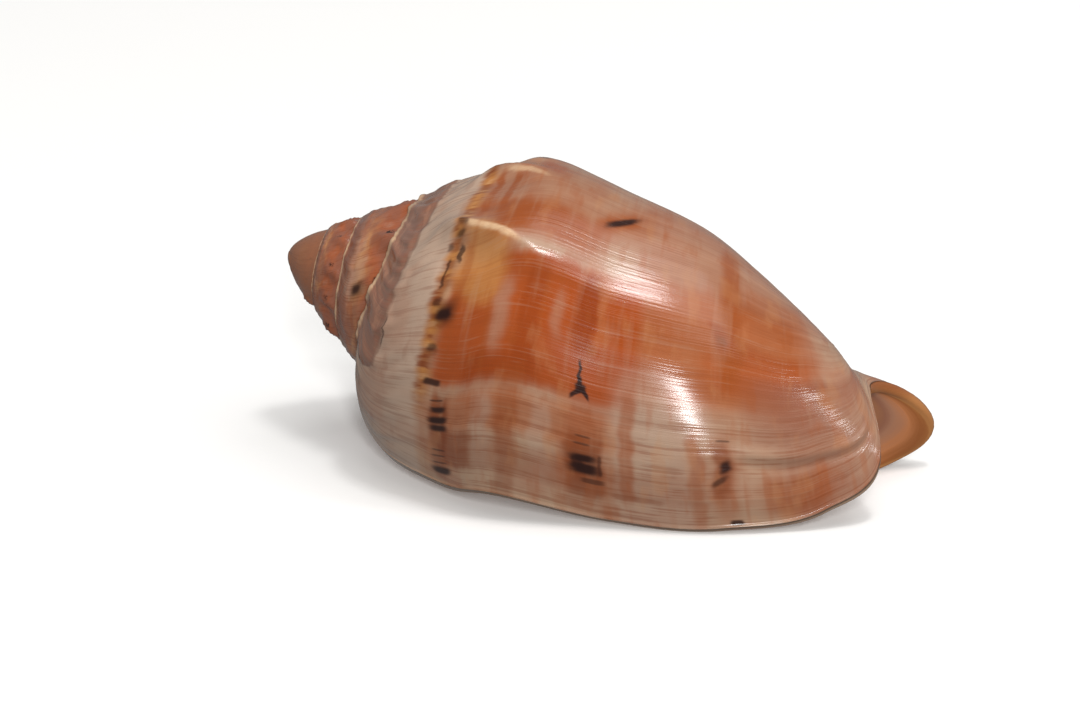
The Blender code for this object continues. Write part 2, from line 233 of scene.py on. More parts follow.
# --- sizes of the mesh ----------------------------------------------------
EDGE_COLUMNS = 36  # from the suture to where the next whorl sits on it
SIDE_COLUMNS = 84  # from there to the first fold of the pillar
FRONT_COLUMNS = 58  # from there to the pillar's foot
SPIRE_ROWS_PER_TURN = 110
RIM_LOOPS = 5
DEPTH_LOOPS = 62
LOOPS_BUNCHED = 1.25  # over 1, the loops stand closer together near the mouth
UNDERLAP = 0.012  # how far each older whorl goes on under the younger one
UNDERLAP_FROM = (1.0, 1.05)  # turns back over which the underlap comes up
LIP_PLAIN = 0.012  # share of the last whorl over which relief comes up at the lip
BACK_PLAIN = 0.02  # and over which it dies out at the mouth's back
BUD_PLAIN = 0.2  # turns either side of the bud's edge over which relief dies out
# The solid's own columns and rows, in the order that Skin takes them.
SOLID_COLUMNS = (8, 14, 22)
SOLID_COUNTS = (8, 36, 115, 2, 24)

# Lengths that turn pattern sizes in mm into places on the shell: once round
# the belly, and once along the mouth's edge.
ROUND_MM = 150.0
EDGE_MM = 105.0


def smooth(x):
    """Ease from 0 to 1 as x goes from 0 to 1."""
    x = np.clip(x, 0.0, 1.0)
    return x * x * (3.0 - 2.0 * x)


def come_up(x, low, high):
    """Ease from 0 to 1 as x goes from low to high."""
    return smooth((x - low) / (high - low))


def hump(x, half):
    """A round bump of height 1 and the given half width."""
    return np.exp(-((x / half) ** 2))


def ridge(x, height, middle, half):
    """A round ridge, or a groove where the height is negative."""
    return height * hump(x - middle, half)


def between(x, low, rise, high, fall):
    """Ease up from 0 at low, hold at 1, and ease down to 0 at high."""
    return smooth((x - low) / rise) * smooth((high - x) / fall)


def eased(u, start, end, leave, arrive):
    """A curve from start to end as u goes from 0 to 1, with the given end slopes."""
    near = start * (1.0 + 2.0 * u) * (1.0 - u) ** 2 + leave * u * (1.0 - u) ** 2
    return near + (end * u * u * (3.0 - 2.0 * u) + arrive * u * u * (u - 1.0))


def lattice_noise(x, y, seed):
    """Smooth noise from -1 to 1, the same on every run."""
    table = np.random.default_rng(seed).uniform(-1.0, 1.0, (64, 64))
    i, j = np.floor(x).astype(int), np.floor(y).astype(int)
    u, v = smooth(x - i), smooth(y - j)
    corner = [[table[(i + a) % 64, (j + b) % 64] for b in (0, 1)] for a in (0, 1)]
    near = corner[0][0] * (1 - v) + corner[0][1] * v
    far = corner[1][0] * (1 - v) + corner[1][1] * v
    return near * (1 - u) + far * u


def through_points(x, places, values):
    """A smooth curve through the given values, with the slopes of their neighbours."""
    places = np.asarray(places, float)
    values = np.asarray(values, float)
    steps = np.diff(places)
    slopes = np.diff(values) / steps
    tangents = np.empty_like(values)
    tangents[1:-1] = (slopes[:-1] * steps[1:] + slopes[1:] * steps[:-1]) / (steps[:-1] + steps[1:])
    tangents[0] = 1.5 * slopes[0] - 0.5 * tangents[1]
    tangents[-1] = 1.5 * slopes[-1] - 0.5 * tangents[-2]
    k = np.clip(np.searchsorted(places, x) - 1, 0, len(places) - 2)
    h = steps[k]
    u = (x - places[k]) / h
    return eased(u, values[k], values[k + 1], tangents[k] * h, tangents[k + 1] * h)


def size_then(turns):
    """Size of the mouth that many turns ago, against the mouth now."""
    last = math.log(LAST_GROWTH)
    first = math.log(FIRST_GROWTH)
    regular = np.exp(-(last * turns - (last - first) * turns * turns / (2.0 * BUD_START)))
    bud = np.clip((turns - BUD_START) / (BUD_END - BUD_START), 0.0, 1.0)
    return regular * np.sqrt(1.0 - bud * bud)


def suture_place(turns):
    """Where on the whorl that old the next whorl's suture lies."""
    return SUTURE_NOW + (SUTURE_BEFORE - SUTURE_NOW) * come_up(turns, *SUTURE_CLIMB)


def plain_whorl(turns, along):
    """Radius and height before the whorl bends in to its suture."""
    size = size_then(turns)
    radius = size * through_points(along, PLACES, RADII)
    height = size * through_points(along, PLACES, HEIGHTS)
    climb = smooth(1.0 - turns / LIP_CLIMB_TURNS) * smooth(1.0 - along / LIP_CLIMB_ALONG)
    return radius, height - LIP_CLIMB * climb


def lag_of(along):
    """Degrees that a place on the mouth's edge stands behind the suture's end."""
    return through_points(along, PLACES, LAGS)


def even_knobs(turns, along):
    """The solid's knobs: all alike, mm outward."""
    round_axis = np.cos(math.pi * KNOBS_PER_TURN * (turns - KNOB_PHASE)) ** 2
    peak = np.exp(-KNOB_SHARP * (1.0 - round_axis))
    across = smooth(1.0 - np.abs(along - KNOB_ALONG) / KNOB_REACH)
    return KNOB_HEIGHT * size_then(turns) * peak * across * come_up(turns, *KNOB_FROM)


def grown_knobs(turns, along):
    """Knobs as they grow: pinched, uneven, each drawn out forward into a ridge."""
    made = np.zeros(np.broadcast(turns, along).shape)
    chance = np.random.default_rng(KNOB_SEED).uniform(-1.0, 1.0, (MOST_KNOBS, 3))
    for k, (moved, swollen, slid) in enumerate(chance):
        place = FIRST_KNOB + k / KNOBS_PER_TURN
        height = OLDER_KNOBS[0] + OLDER_KNOBS[1] * swollen
        if k < len(NEAR_KNOBS):
            height = NEAR_KNOBS[k]
        else:
            place = place + KNOB_STRAY * moved
        if place > BUD_START:
            break
        height = height + SPIRE_KNOBS * come_up(place, *SPIRE_KNOBS_FROM)
        past = along - (FIRST_TOP if k == 0 else KNOB_TOP[0] + KNOB_TOP[1] * slid)
        drawn_out = FIRST_RIDGE if k == 0 else OLDER_RIDGE
        back = turns - place + KNOB_SLANT * np.clip(past, *SLANT_SPAN)
        rise = smooth((past + KNOB_RISE) / KNOB_RISE)
        fall = smooth(1.0 - past / drawn_out) ** 1.5
        # The ridge is narrow on the shoulder and widens down the belly.
        forward = np.clip(past, 0.0, RIDGE_WIDENS)
        width = RIDGE_WIDTH[0] + RIDGE_WIDTH[1] * forward
        crest = RIDGE_CREST[0] + RIDGE_CREST[1] * forward
        pinched = np.exp((crest - np.sqrt(back**2 + crest**2)) / width)
        hollow = KNOB_HOLLOW * hump(back + HOLLOW_PLACE[0], HOLLOW_PLACE[1])
        made = made + height * (pinched - hollow) * rise * fall
    return made * size_then(turns)


def ramp(turns, along, knobs):
    """Radius and height on the ramp, drawn from the suture out to the shoulder."""
    under = suture_place(turns + 1.0)
    start = plain_whorl(turns + 1.0, under)
    start = (start[0] + knobs(turns + 1.0, under), start[1])
    end = plain_whorl(turns, np.asarray(SHOULDER))
    beyond = plain_whorl(turns, np.asarray(SHOULDER + STEP))
    before = plain_whorl(turns, np.asarray(SHOULDER - STEP))
    u = np.minimum(along / SHOULDER, 1.0)
    young = smooth(1.0 - turns / RAMP_LEAD_TURNS)
    drawn = []
    for axis, older in enumerate(RAMP_LEAD):
        lead = older + (RAMP_LEAD_LIP[axis] - older) * young
        leave = lead * (end[axis] - start[axis])
        arrive = (beyond[axis] - before[axis]) * SHOULDER / (2.0 * STEP)
        drawn.append(eased(u, start[axis], end[axis], leave, arrive))
    return drawn


def surface(turns, along, knobs, relief=1.0):
    """The shell's outside: points in mm, the axis along z, the apex at z = 0."""
    turns, along = np.broadcast_arrays(np.asarray(turns, float), np.asarray(along, float))
    radius, height = plain_whorl(turns, along)
    ramp_radius, ramp_height = ramp(turns, along, knobs)
    on_ramp = along < SHOULDER
    radius = np.where(on_ramp, ramp_radius, radius) + relief * knobs(turns, along)
    height = np.where(on_ramp, ramp_height, height)
    height = height + (np.sqrt(radius * radius + APEX_BLUNT**2) - radius - APEX_BLUNT) / APEX_SLOPE
    angle = -2.0 * math.pi * turns - np.radians(lag_of(along))
    return np.stack([radius * np.cos(angle), radius * np.sin(angle), height], -1)


def outward(turns, along, knobs, relief=1.0):
    """Unit normal of the outside."""
    turns = np.minimum(turns, BUD_END - 2.0 * STEP)
    older, younger = (surface(turns + by, along, knobs, relief) for by in (STEP, -STEP))
    high, low = np.minimum(along + STEP, 1.0), np.maximum(along - STEP, 0.0)
    forward = surface(turns, high, knobs, relief) - surface(turns, low, knobs, relief)
    normal = np.cross(forward, older - younger)
    return normal / np.maximum(np.linalg.norm(normal, axis=-1, keepdims=True), 1e-9)


def rippled(layers, turns, along):
    """Layers of smooth noise on top of each other, mm."""
    return sum(h * lattice_noise(turns * a, along * b, seed) for h, a, b, seed in layers)


def callus(turns, along):
    """Height in mm of the wrinkled band laid along the suture, with a ragged edge."""
    reach = CALLUS_REACH * come_up(turns, *CALLUS_FROM)
    edge = smooth((reach + rippled(RAGGED_EDGE, turns, along) - along) / CALLUS_EDGE)
    wrinkles = rippled(CALLUS_WRINKLES, turns + WRINKLE_LEAN * along, along)
    lap = smooth(along / CALLUS_LAP)
    fringe = FRINGE_HEIGHT + rippled(FRINGE_WRINKLES, turns, along)
    fringe = fringe * ridge(along, *CALLUS_FRINGE)
    return lap * edge * (CALLUS_HEIGHT + wrinkles) - SUTURE_GROOVE * (1.0 - lap) + fringe


def growth_ridges(turns, along):
    """Ridges along the growth lines, stronger on the ramp and by the lip, mm."""
    bent = turns + LINES_LEAN * np.clip(SHOULDER - along, 0.0, LINES_LEAN_SPAN)
    ridges = rippled(WAVES, bent, along)
    ridges = ridges + between(along, *RAMP_STRETCH) * rippled(RAMP_WRINKLES, bent, along)
    by_lip = come_up(turns, *RIDGED_LIP) * between(along, *LIP_STRETCH)
    return ridges + by_lip * rippled(LIP_RIDGES, bent, along)


def scars(turns, along):
    """The old lip's crease and the seam beside the shoulder, mm."""
    behind = turns - OLD_LIP + OLD_LIP_LEAN * (along - OLD_LIP_ALONG)
    crease = ridge(behind, *CREASE_RIDGE) + ridge(behind, *CREASE_GROOVE)
    seam = ridge(along - rippled(SEAM_WANDER, turns, along), *SEAM_GROOVE)
    return crease * between(along, *CREASE_STRETCH) + seam * between(turns, *SEAM_STRETCH)


def fine_relief(turns, along):
    """All that is laid on the plain outside, mm along its normal."""
    across = np.clip(along / suture_place(turns), 0.0, 1.0)
    swell = SPIRE_SWELL * come_up(turns, *SPIRE_SWELL_FROM) * np.sin(math.pi * across) ** 1.5
    grown = size_then(turns) * (growth_ridges(turns, along) + callus(turns, along) + swell)
    bud = BUD_SWELL * between(turns, *BUD_STRETCH)
    third_knob = ridge(turns, *THIRD_KNOB) * ridge(along, *THIRD_KNOB_RIDGE)
    return grown + bud + scars(turns, along) + third_knob


def turns_to_meridian(along):
    """Turns back from the edge to the half plane that closes the mouth behind."""
    lag = lag_of(along) - lag_of(np.asarray(SUTURE_NOW))
    return np.where(along <= SUTURE_NOW, 1.0, 1.0 - lag / FULL_TURN)


def edge_places(rear, side, front):
    """Columns along the edge, with SUTURE_NOW on one of them."""
    first = np.linspace(0.0, SUTURE_NOW, rear + 1)
    second = np.linspace(SUTURE_NOW, PLAIT_SPAN[0], side + 1)
    third = np.linspace(PLAIT_SPAN[0], 1.0, front + 1)
    return np.concatenate([first, second[1:], third[1:]])


def plait(along):
    """Four low oblique folds round the pillar, 0 to 1."""
    start, end = PLAIT_SPAN
    place = (along - start) / (end - start)
    inside = (place > 0.0) & (place < 1.0)
    return np.where(inside, np.sin(math.pi * PLAITS * place) ** 2, 0.0)


def rear_shift(along, start, amount):
    """Slide the columns next to the suture away from it, keeping their order."""
    return along + amount * (1.0 - smooth((along - start) / REAR_FADE))


class Skin:
    """Points, faces and growth coordinates of the whole shell."""

    def __init__(self, knobs, relief, places, rear, rows, spire_rows, rim_loops, depth_loops):
        self.knobs = knobs
        self.relief = relief
        self.places = places
        self.rear = rear
        self.points, self.grown, self.quads, self.finish = [], [], [], []
        self.count = 0
        mouth = self.outside(rows, spire_rows)
        self.inside(mouth, rim_loops, depth_loops)

    def add(self, points, turns, along, depth):
        """Keep a block of points with where and how deep they grew."""
        shape = points.shape[:-1]
        grown = np.stack([np.broadcast_to(v, shape) for v in (turns, along, depth)], -1)
        self.points.append(points.reshape(-1, 3))
        self.grown.append(grown.reshape(-1, 3))
        ids = self.count + np.arange(int(np.prod(shape))).reshape(shape)
        self.count += ids.size
        return ids

    def band(self, first, second, closed, finish):
        """Four-sided faces between rows of points."""
        a, b = np.asarray(first), np.asarray(second)
        if closed:
            a, b = np.append(a, a[:1]), np.append(b, b[:1])
        self.quads.append(np.stack([a[:-1], b[:-1], b[1:], a[1:]], -1))
        self.finish.append(np.full(len(a) - 1, finish))

    def skin(self, turns, along, fade):
        """Outside points with the growth relief laid on."""
        points = surface(turns, along, self.knobs)
        if self.relief is None:
            return points
        lift = fade * self.relief(turns, along)
        return points + outward(turns, along, self.knobs) * lift[..., None]

    def outside(self, rows, spire_rows):
        """The last whorl and the spire; gives the mouth's edge as a loop of points."""
        places, rear = self.places, self.rear
        share = np.linspace(0.0, 1.0, rows + 1)[:, None]
        turns = share * turns_to_meridian(places)[None, :]
        along = np.broadcast_to(places, turns.shape)
        shut = np.where(along <= SUTURE_NOW, 1.0, smooth((1.0 - share) / BACK_PLAIN))
        fade = smooth(share / LIP_PLAIN) * shut
        ids = self.add(self.skin(turns, along, fade), turns, along, 0.0)
        for i in range(rows):
            self.band(ids[i + 1], ids[i], False, 0)
        turns = np.linspace(1.0, BUD_END, spire_rows + 1)[1:, None]
        end = suture_place(turns) + UNDERLAP * come_up(turns, *UNDERLAP_FROM)
        along = places[None, : rear + 1] / SUTURE_NOW * end
        turns = np.broadcast_to(turns, along.shape)
        fade = come_up(turns, BUD_START + BUD_PLAIN, BUD_START - BUD_PLAIN)
        spire = self.add(self.skin(turns, along, fade), turns, along, 0.0)
        self.band(spire[0], ids[rows, : rear + 1], False, 0)
        for i in range(spire_rows - 1):
            self.band(spire[i + 1], spire[i], False, 0)
        return np.concatenate([ids[0], ids[rows, rear + 1 : -1][::-1]])

    def lip_inside(self, depth, along):
        """The inner face of the outer wall, depth turns in from the edge."""
        wall = through_points(along, [row[0] for row in WALL], [row[1] for row in WALL])
        inset = (wall * size_then(depth))[..., None]
        normal = outward(depth, along, self.knobs, INNER_RELIEF)
        return surface(depth, along, self.knobs, INNER_RELIEF) - normal * inset

    def pillar_face(self, depth, along, lift_share=1.0):
        """The glazed face of the whorl and pillar on the mouth's other side."""
        turns = turns_to_meridian(along) + depth
        grown = smooth(depth / PLAIT_RISE) * (1.0 - come_up(depth, *PLAIT_END))
        folds = PLAIT_HEIGHT * plait(along) * grown
        lift = lift_share * (GLAZE + folds) * size_then(depth)
        normal = outward(turns, along, self.knobs)
        return surface(turns, along, self.knobs) + normal * lift[..., None]

    def canal_floor(self, depth, along):
        """The spoon-shaped floor of the front canal, ruled from rim to pillar."""
        share = ((along - CANAL_FROM) / (1.0 - CANAL_FROM))[:, None]
        reach = min(float(depth) / CANAL_TURNS, 1.0)
        deep = np.asarray(max(float(depth), CANAL_TURNS))
        start, end, zero = np.asarray(CANAL_FROM), np.asarray(1.0), np.asarray(0.0)
        floor_first = self.lip_inside(deep, start)
        floor_last = self.pillar_face(deep, end)
        floor = floor_first + share * (floor_last - floor_first)
        if reach >= 1.0:
            return floor
        first, last = self.lip_inside(depth, start), self.pillar_face(depth, end)
        rim_first, rim_last = self.lip_inside(zero, start), self.pillar_face(zero, end)
        rim = self.lip_inside(zero, along) + share * (rim_last - self.lip_inside(zero, end))
        ruled = rim + reach * (floor - rim)
        first_chord = rim_first + reach * (floor_first - rim_first)
        last_chord = rim_last + reach * (floor_last - rim_last)
        return ruled + (1.0 - share) * (first - first_chord) + share * (last - last_chord)

    def inner_loop(self, depth):
        """One closed loop of the inside: rear corner, lip, canal, foot, pillar, back."""
        places, rear = self.places, self.rear
        depth = np.asarray(float(depth))
        lip = places[places <= CANAL_FROM + 1e-9]
        canal = places[places > CANAL_FROM + 1e-9]
        pillar = places[rear + 1 : -1][::-1]
        behind = float(suture_place(1.0 + depth)) + REAR_CORNER_INNER
        corner = self.pillar_face(depth, np.asarray(behind))
        lip_slid = rear_shift(lip, 0.0, REAR_CORNER)
        lip_points = self.lip_inside(depth, lip_slid)
        fade = (1.0 - smooth(lip / REAR_FADE))[:, None]
        lip_points = lip_points + fade * (corner - lip_points[0])
        pillar_slid = rear_shift(pillar, SUTURE_NOW, behind - SUTURE_NOW)
        points = [lip_points, self.canal_floor(depth, canal), self.pillar_face(depth, pillar_slid)]
        turns = [depth + 0.0 * lip, depth + 0.0 * canal, turns_to_meridian(pillar_slid) + depth]
        along = [lip, canal, pillar_slid]
        return np.concatenate(points), np.concatenate(turns), np.concatenate(along)

    def rim_loops(self, count):
        """Loops that round the mouth's edge from the outside to the inside."""
        places = self.places
        inner = self.inner_loop(0.0)[0][: len(places)]
        outer = surface(0.0, places, self.knobs)
        pillar = places[self.rear + 1 : -1][::-1]
        forward = surface(-STEP, places, self.knobs) - surface(STEP, places, self.knobs)
        forward = forward / np.linalg.norm(forward, axis=-1, keepdims=True)
        half = 0.5 * np.linalg.norm(outer - inner, axis=-1, keepdims=True)
        fade = smooth(places / RIM_FADE) * smooth((1.0 - places) / RIM_FADE)
        bulge = RIM_ROUND * np.minimum(half, RIM_HALF) * fade[:, None] * forward
        near_corner = (1.0 - smooth(places / REAR_FADE))[:, None]
        zero = np.asarray(0.0)
        for k in range(1, count + 1):
            angle = math.pi * k / (count + 1)
            share = 0.5 - 0.5 * math.cos(angle)
            lip = outer + share * (inner - outer) + math.sin(angle) * bulge
            raised = math.sqrt(share)
            behind = share * REAR_CORNER_INNER
            corner = self.pillar_face(zero, np.asarray(SUTURE_NOW + behind), raised)
            lip = lip + near_corner * (corner - lip[0])
            slid = rear_shift(pillar, SUTURE_NOW, behind)
            points = np.concatenate([lip, self.pillar_face(zero, slid, raised)])
            turns = np.concatenate([0.0 * places, turns_to_meridian(slid)])
            yield points, turns, np.concatenate([places, slid]), share

    def inside(self, mouth, rim_loops, depth_loops):
        """Loop after loop from the mouth's edge inwards, closed at the end."""
        loop = mouth
        for points, turns, along, share in self.rim_loops(rim_loops):
            following = self.add(points, turns, along, RIM_DEPTH * share)
            self.band(following, loop, True, 1)
            loop = following
        for depth in DEPTH_TURNS * np.linspace(0.0, 1.0, depth_loops) ** LOOPS_BUNCHED:
            points, turns, along = self.inner_loop(depth)
            following = self.add(points, turns, along, INSIDE_DEPTH + depth)
            self.band(following, loop, True, 1)
            loop = following
        middle = np.concatenate(self.points)[loop].mean(axis=0, keepdims=True)
        centre = self.add(middle, *DEEPEST)[0]
        self.band(np.full(len(loop), centre), loop, True, 1)


def resting_frame():
    """Lay the axis along X with the lip to -Y, then turn the shell onto its mouth."""
    along_x = Matrix(((0.0, 0.0, 1.0), (-1.0, 0.0, 0.0), (0.0, -1.0, 0.0)))
    roll = Matrix.Rotation(math.radians(REST_ROLL), 3, "X")
    pitch = Matrix.Rotation(math.radians(REST_PITCH), 3, "Y")
    return np.array(pitch @ roll @ along_x)


def resting_place(turned):
    """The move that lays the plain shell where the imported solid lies, mm."""
    plain = Skin(even_knobs, None, edge_places(*SOLID_COLUMNS), *SOLID_COUNTS)
    points = np.concatenate(plain.points) @ turned.T
    low, high = points.min(axis=0), points.max(axis=0)
    cad_low, cad_high = (np.array(corner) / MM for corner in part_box("shell"))
    move = (cad_low + cad_high - low - high) / 2.0
    move[2] = cad_low[2] - low[2]
    return move


# --- materials ------------------------------------------------------------


def feed(node, inputs):
    """Feed a node's sockets, in order or by name, with values or links.

    A node given as an input sends its first output.
    """
    for name, value in inputs.items() if isinstance(inputs, dict) else enumerate(inputs):
        if isinstance(value, bpy.types.Node):
            value = value.outputs[0]
        if isinstance(value, bpy.types.NodeSocket):
            node.id_data.links.new(value, node.inputs[name])
        else:
            node.inputs[name].default_value = value


def add_node(tree, kind, inputs=(), **settings):
    """Add a node, set its options and feed it."""
    made = tree.nodes.new(kind)
    for name, value in settings.items():
        if name == "stops":
            ramp_stops = made.color_ramp.elements
            while len(ramp_stops) < len(value):
                ramp_stops.new(1.0)
            for stop, (place, colour) in zip(ramp_stops, value):
                stop.position = place
                stop.color = colour
        else:
            setattr(made, name, value)
    feed(made, inputs)
    return made


def new_finish(name):
    """A new material, its node tree and its shader."""
    material = bpy.data.materials.new(name)
    material.use_nodes = True
    return material, material.node_tree, material.node_tree.nodes["Principled BSDF"]


def patch_group():
    """How strongly a soft-edged, slanted patch of growth covers a place."""
    group = bpy.data.node_groups.new("growth patch", "ShaderNodeTree")
    values = {
        "turns": 0.0, "along": 0.0, "middle turns": 0.1, "middle along": 0.3,
        "half turns": 0.02, "half along": 0.02, "turns edge": 0.004, "along edge": 0.004,
        "slant": 0.0,
    }
    for name, value in values.items():
        socket = group.interface.new_socket(name, in_out="INPUT", socket_type="NodeSocketFloat")
        socket.default_value = value
    group.interface.new_socket("cover", in_out="OUTPUT", socket_type="NodeSocketFloat")
    given = add_node(group, "NodeGroupInput").outputs
    across, back = (
        add_node(group, "ShaderNodeMath", (given[a], given["middle " + a]), operation="SUBTRACT")
        for a in ("along", "turns")
    )
    lean = add_node(group, "ShaderNodeMath", (across, given["slant"]), operation="MULTIPLY")
    back = add_node(group, "ShaderNodeMath", (back, lean), operation="SUBTRACT")
    covers = []
    for way, distance in (("turns", back), ("along", across)):
        half, edge = given["half " + way], given[way + " edge"]
        span = {
            "Value": add_node(group, "ShaderNodeMath", (distance,), operation="ABSOLUTE"),
            "From Min": add_node(group, "ShaderNodeMath", (half, edge), operation="SUBTRACT"),
            "From Max": add_node(group, "ShaderNodeMath", (half, edge), operation="ADD"),
            "To Min": 1.0,
            "To Max": 0.0,
        }
        covers.append(add_node(group, "ShaderNodeMapRange", span, interpolation_type="SMOOTHSTEP"))
    both = add_node(group, "ShaderNodeMath", covers, operation="MULTIPLY")
    add_node(group, "NodeGroupOutput", {"cover": both})
    return group


# Washes of colour over the last whorl, oldest drawing first: colour, strength,
# middle turns, middle along, half turns, half along, turns edge, along edge and,
# where the patch leans, its slant.
WASHES = (
    ("pink", 0.8, 0.275, 0.56, 0.075, 0.16, 0.03, 0.05),
    ("salmon", 0.8, 0.15, 0.52, 0.055, 0.11, 0.02, 0.04),
    ("orange", 0.55, 0.135, 0.57, 0.022, 0.06, 0.012, 0.03),
    ("rust", 0.55, 0.215, 0.58, 0.022, 0.06, 0.016, 0.03, 0.1),
    ("orange", 0.95, 0.142, 0.315, 0.052, 0.118, 0.01, 0.016),
    ("ochre", 0.85, 0.195, 0.235, 0.035, 0.035, 0.014, 0.018, -0.4),
    ("deep", 0.55, 0.142, 0.312, 0.045, 0.012, 0.014, 0.007),
    ("deep", 0.95, 0.155, 0.372, 0.034, 0.012, 0.016, 0.009),
    ("deep", 0.55, 0.1, 0.285, 0.012, 0.045, 0.008, 0.014),
    ("pink", 0.8, 0.142, 0.278, 0.028, 0.01, 0.016, 0.01),
    ("pink", 0.55, 0.148, 0.342, 0.018, 0.006, 0.014, 0.007),
    ("rust", 0.45, 0.285, 0.29, 0.05, 0.09, 0.022, 0.03, -0.2),
    ("rust", 0.95, 0.23, 0.3, 0.022, 0.072, 0.018, 0.03, -0.12),
    ("rust", 0.6, 0.25, 0.235, 0.016, 0.045, 0.01, 0.02, -0.35),
    ("rust", 0.8, 0.288, 0.207, 0.038, 0.005, 0.012, 0.004),
    ("rust", 0.8, 0.28, 0.232, 0.034, 0.006, 0.014, 0.005, -0.4),
    ("orange", 0.6, 0.318, 0.285, 0.014, 0.018, 0.01, 0.012, -0.2),
    ("salmon", 0.6, 0.068, 0.32, 0.016, 0.12, 0.01, 0.03),
    ("brown", 0.95, 0.153, 0.2, 0.012, 0.012, 0.008, 0.009),
    ("rust", 0.85, 0.256, 0.388, 0.012, 0.028, 0.012, 0.014, 0.6),
    ("brown", 0.7, 0.125, 0.196, 0.006, 0.007, 0.005, 0.005),
    ("brown", 0.6, 0.045, 0.213, 0.038, 0.009, 0.01, 0.006),
    ("brown", 0.6, 0.04, 0.381, 0.025, 0.02, 0.01, 0.006),
    ("crest", 0.7, 0.205, 0.1845, 0.042, 0.0022, 0.008, 0.0025),
    # Pale lines along the ridges of the two youngest knobs: their worn crests, partly a painted
    # highlight along each ridge.
    ("crest", 0.85, 0.225, 0.232, 0.003, 0.046, 0.003, 0.014, -0.46),
    ("crest", 0.55, 0.312, 0.245, 0.003, 0.036, 0.003, 0.014, -0.46),
    ("crest", 0.5, 0.173, 0.195, 0.008, 0.007, 0.008, 0.007),
    ("rust", 0.75, 0.2, 0.537, 0.085, 0.012, 0.02, 0.01, 0.06),
    ("rust", 0.55, 0.16, 0.54, 0.03, 0.01, 0.02, 0.007),
    ("rust", 0.45, 0.265, 0.405, 0.03, 0.03, 0.02, 0.02, 0.5),
    ("mauve", 0.65, 0.06, 0.65, 0.07, 0.07, 0.02, 0.035),
    ("ramp", 0.6, 0.045, 0.455, 0.05, 0.048, 0.018, 0.02),
    ("ramp", 0.5, 0.05, 0.27, 0.03, 0.012, 0.014, 0.008),
    ("ramp", 0.45, 0.05, 0.335, 0.03, 0.01, 0.014, 0.007),
    ("ramp", 0.4, 0.095, 0.44, 0.025, 0.03, 0.016, 0.018),
    ("rust", 0.6, 0.06, 0.425, 0.045, 0.008, 0.016, 0.006),
    ("rust", 0.5, 0.04, 0.5, 0.04, 0.008, 0.016, 0.006),
    ("brown", 0.65, 0.036, 0.235, 0.016, 0.022, 0.006, 0.01),
    ("brown", 0.4, 0.03, 0.3, 0.045, 0.01, 0.014, 0.007),
    ("rust", 0.45, 0.07, 0.3, 0.03, 0.012, 0.014, 0.008),
    ("brown", 0.35, 0.032, 0.36, 0.012, 0.16, 0.006, 0.04),
    ("rust", 0.35, 0.045, 0.53, 0.04, 0.012, 0.02, 0.009),
    ("mauve", 0.5, 0.1, 0.6, 0.03, 0.05, 0.014, 0.02),
    ("rust", 0.6, 0.024, 0.6, 0.018, 0.035, 0.012, 0.02),
    ("brown", 0.6, 0.048, 0.528, 0.022, 0.009, 0.01, 0.006, 0.2),
    ("brown", 0.6, 0.043, 0.381, 0.016, 0.016, 0.008, 0.008),
    ("brown", 0.45, 0.058, 0.213, 0.022, 0.01, 0.008, 0.006),
    ("deep", 0.95, 0.165, 0.524, 0.013, 0.008, 0.01, 0.008),
    ("brown", 0.9, 0.162, 0.524, 0.0045, 0.005, 0.004, 0.005),
    ("rust", 0.3, 0.025, 0.405, 0.03, 0.01, 0.02, 0.006),
)

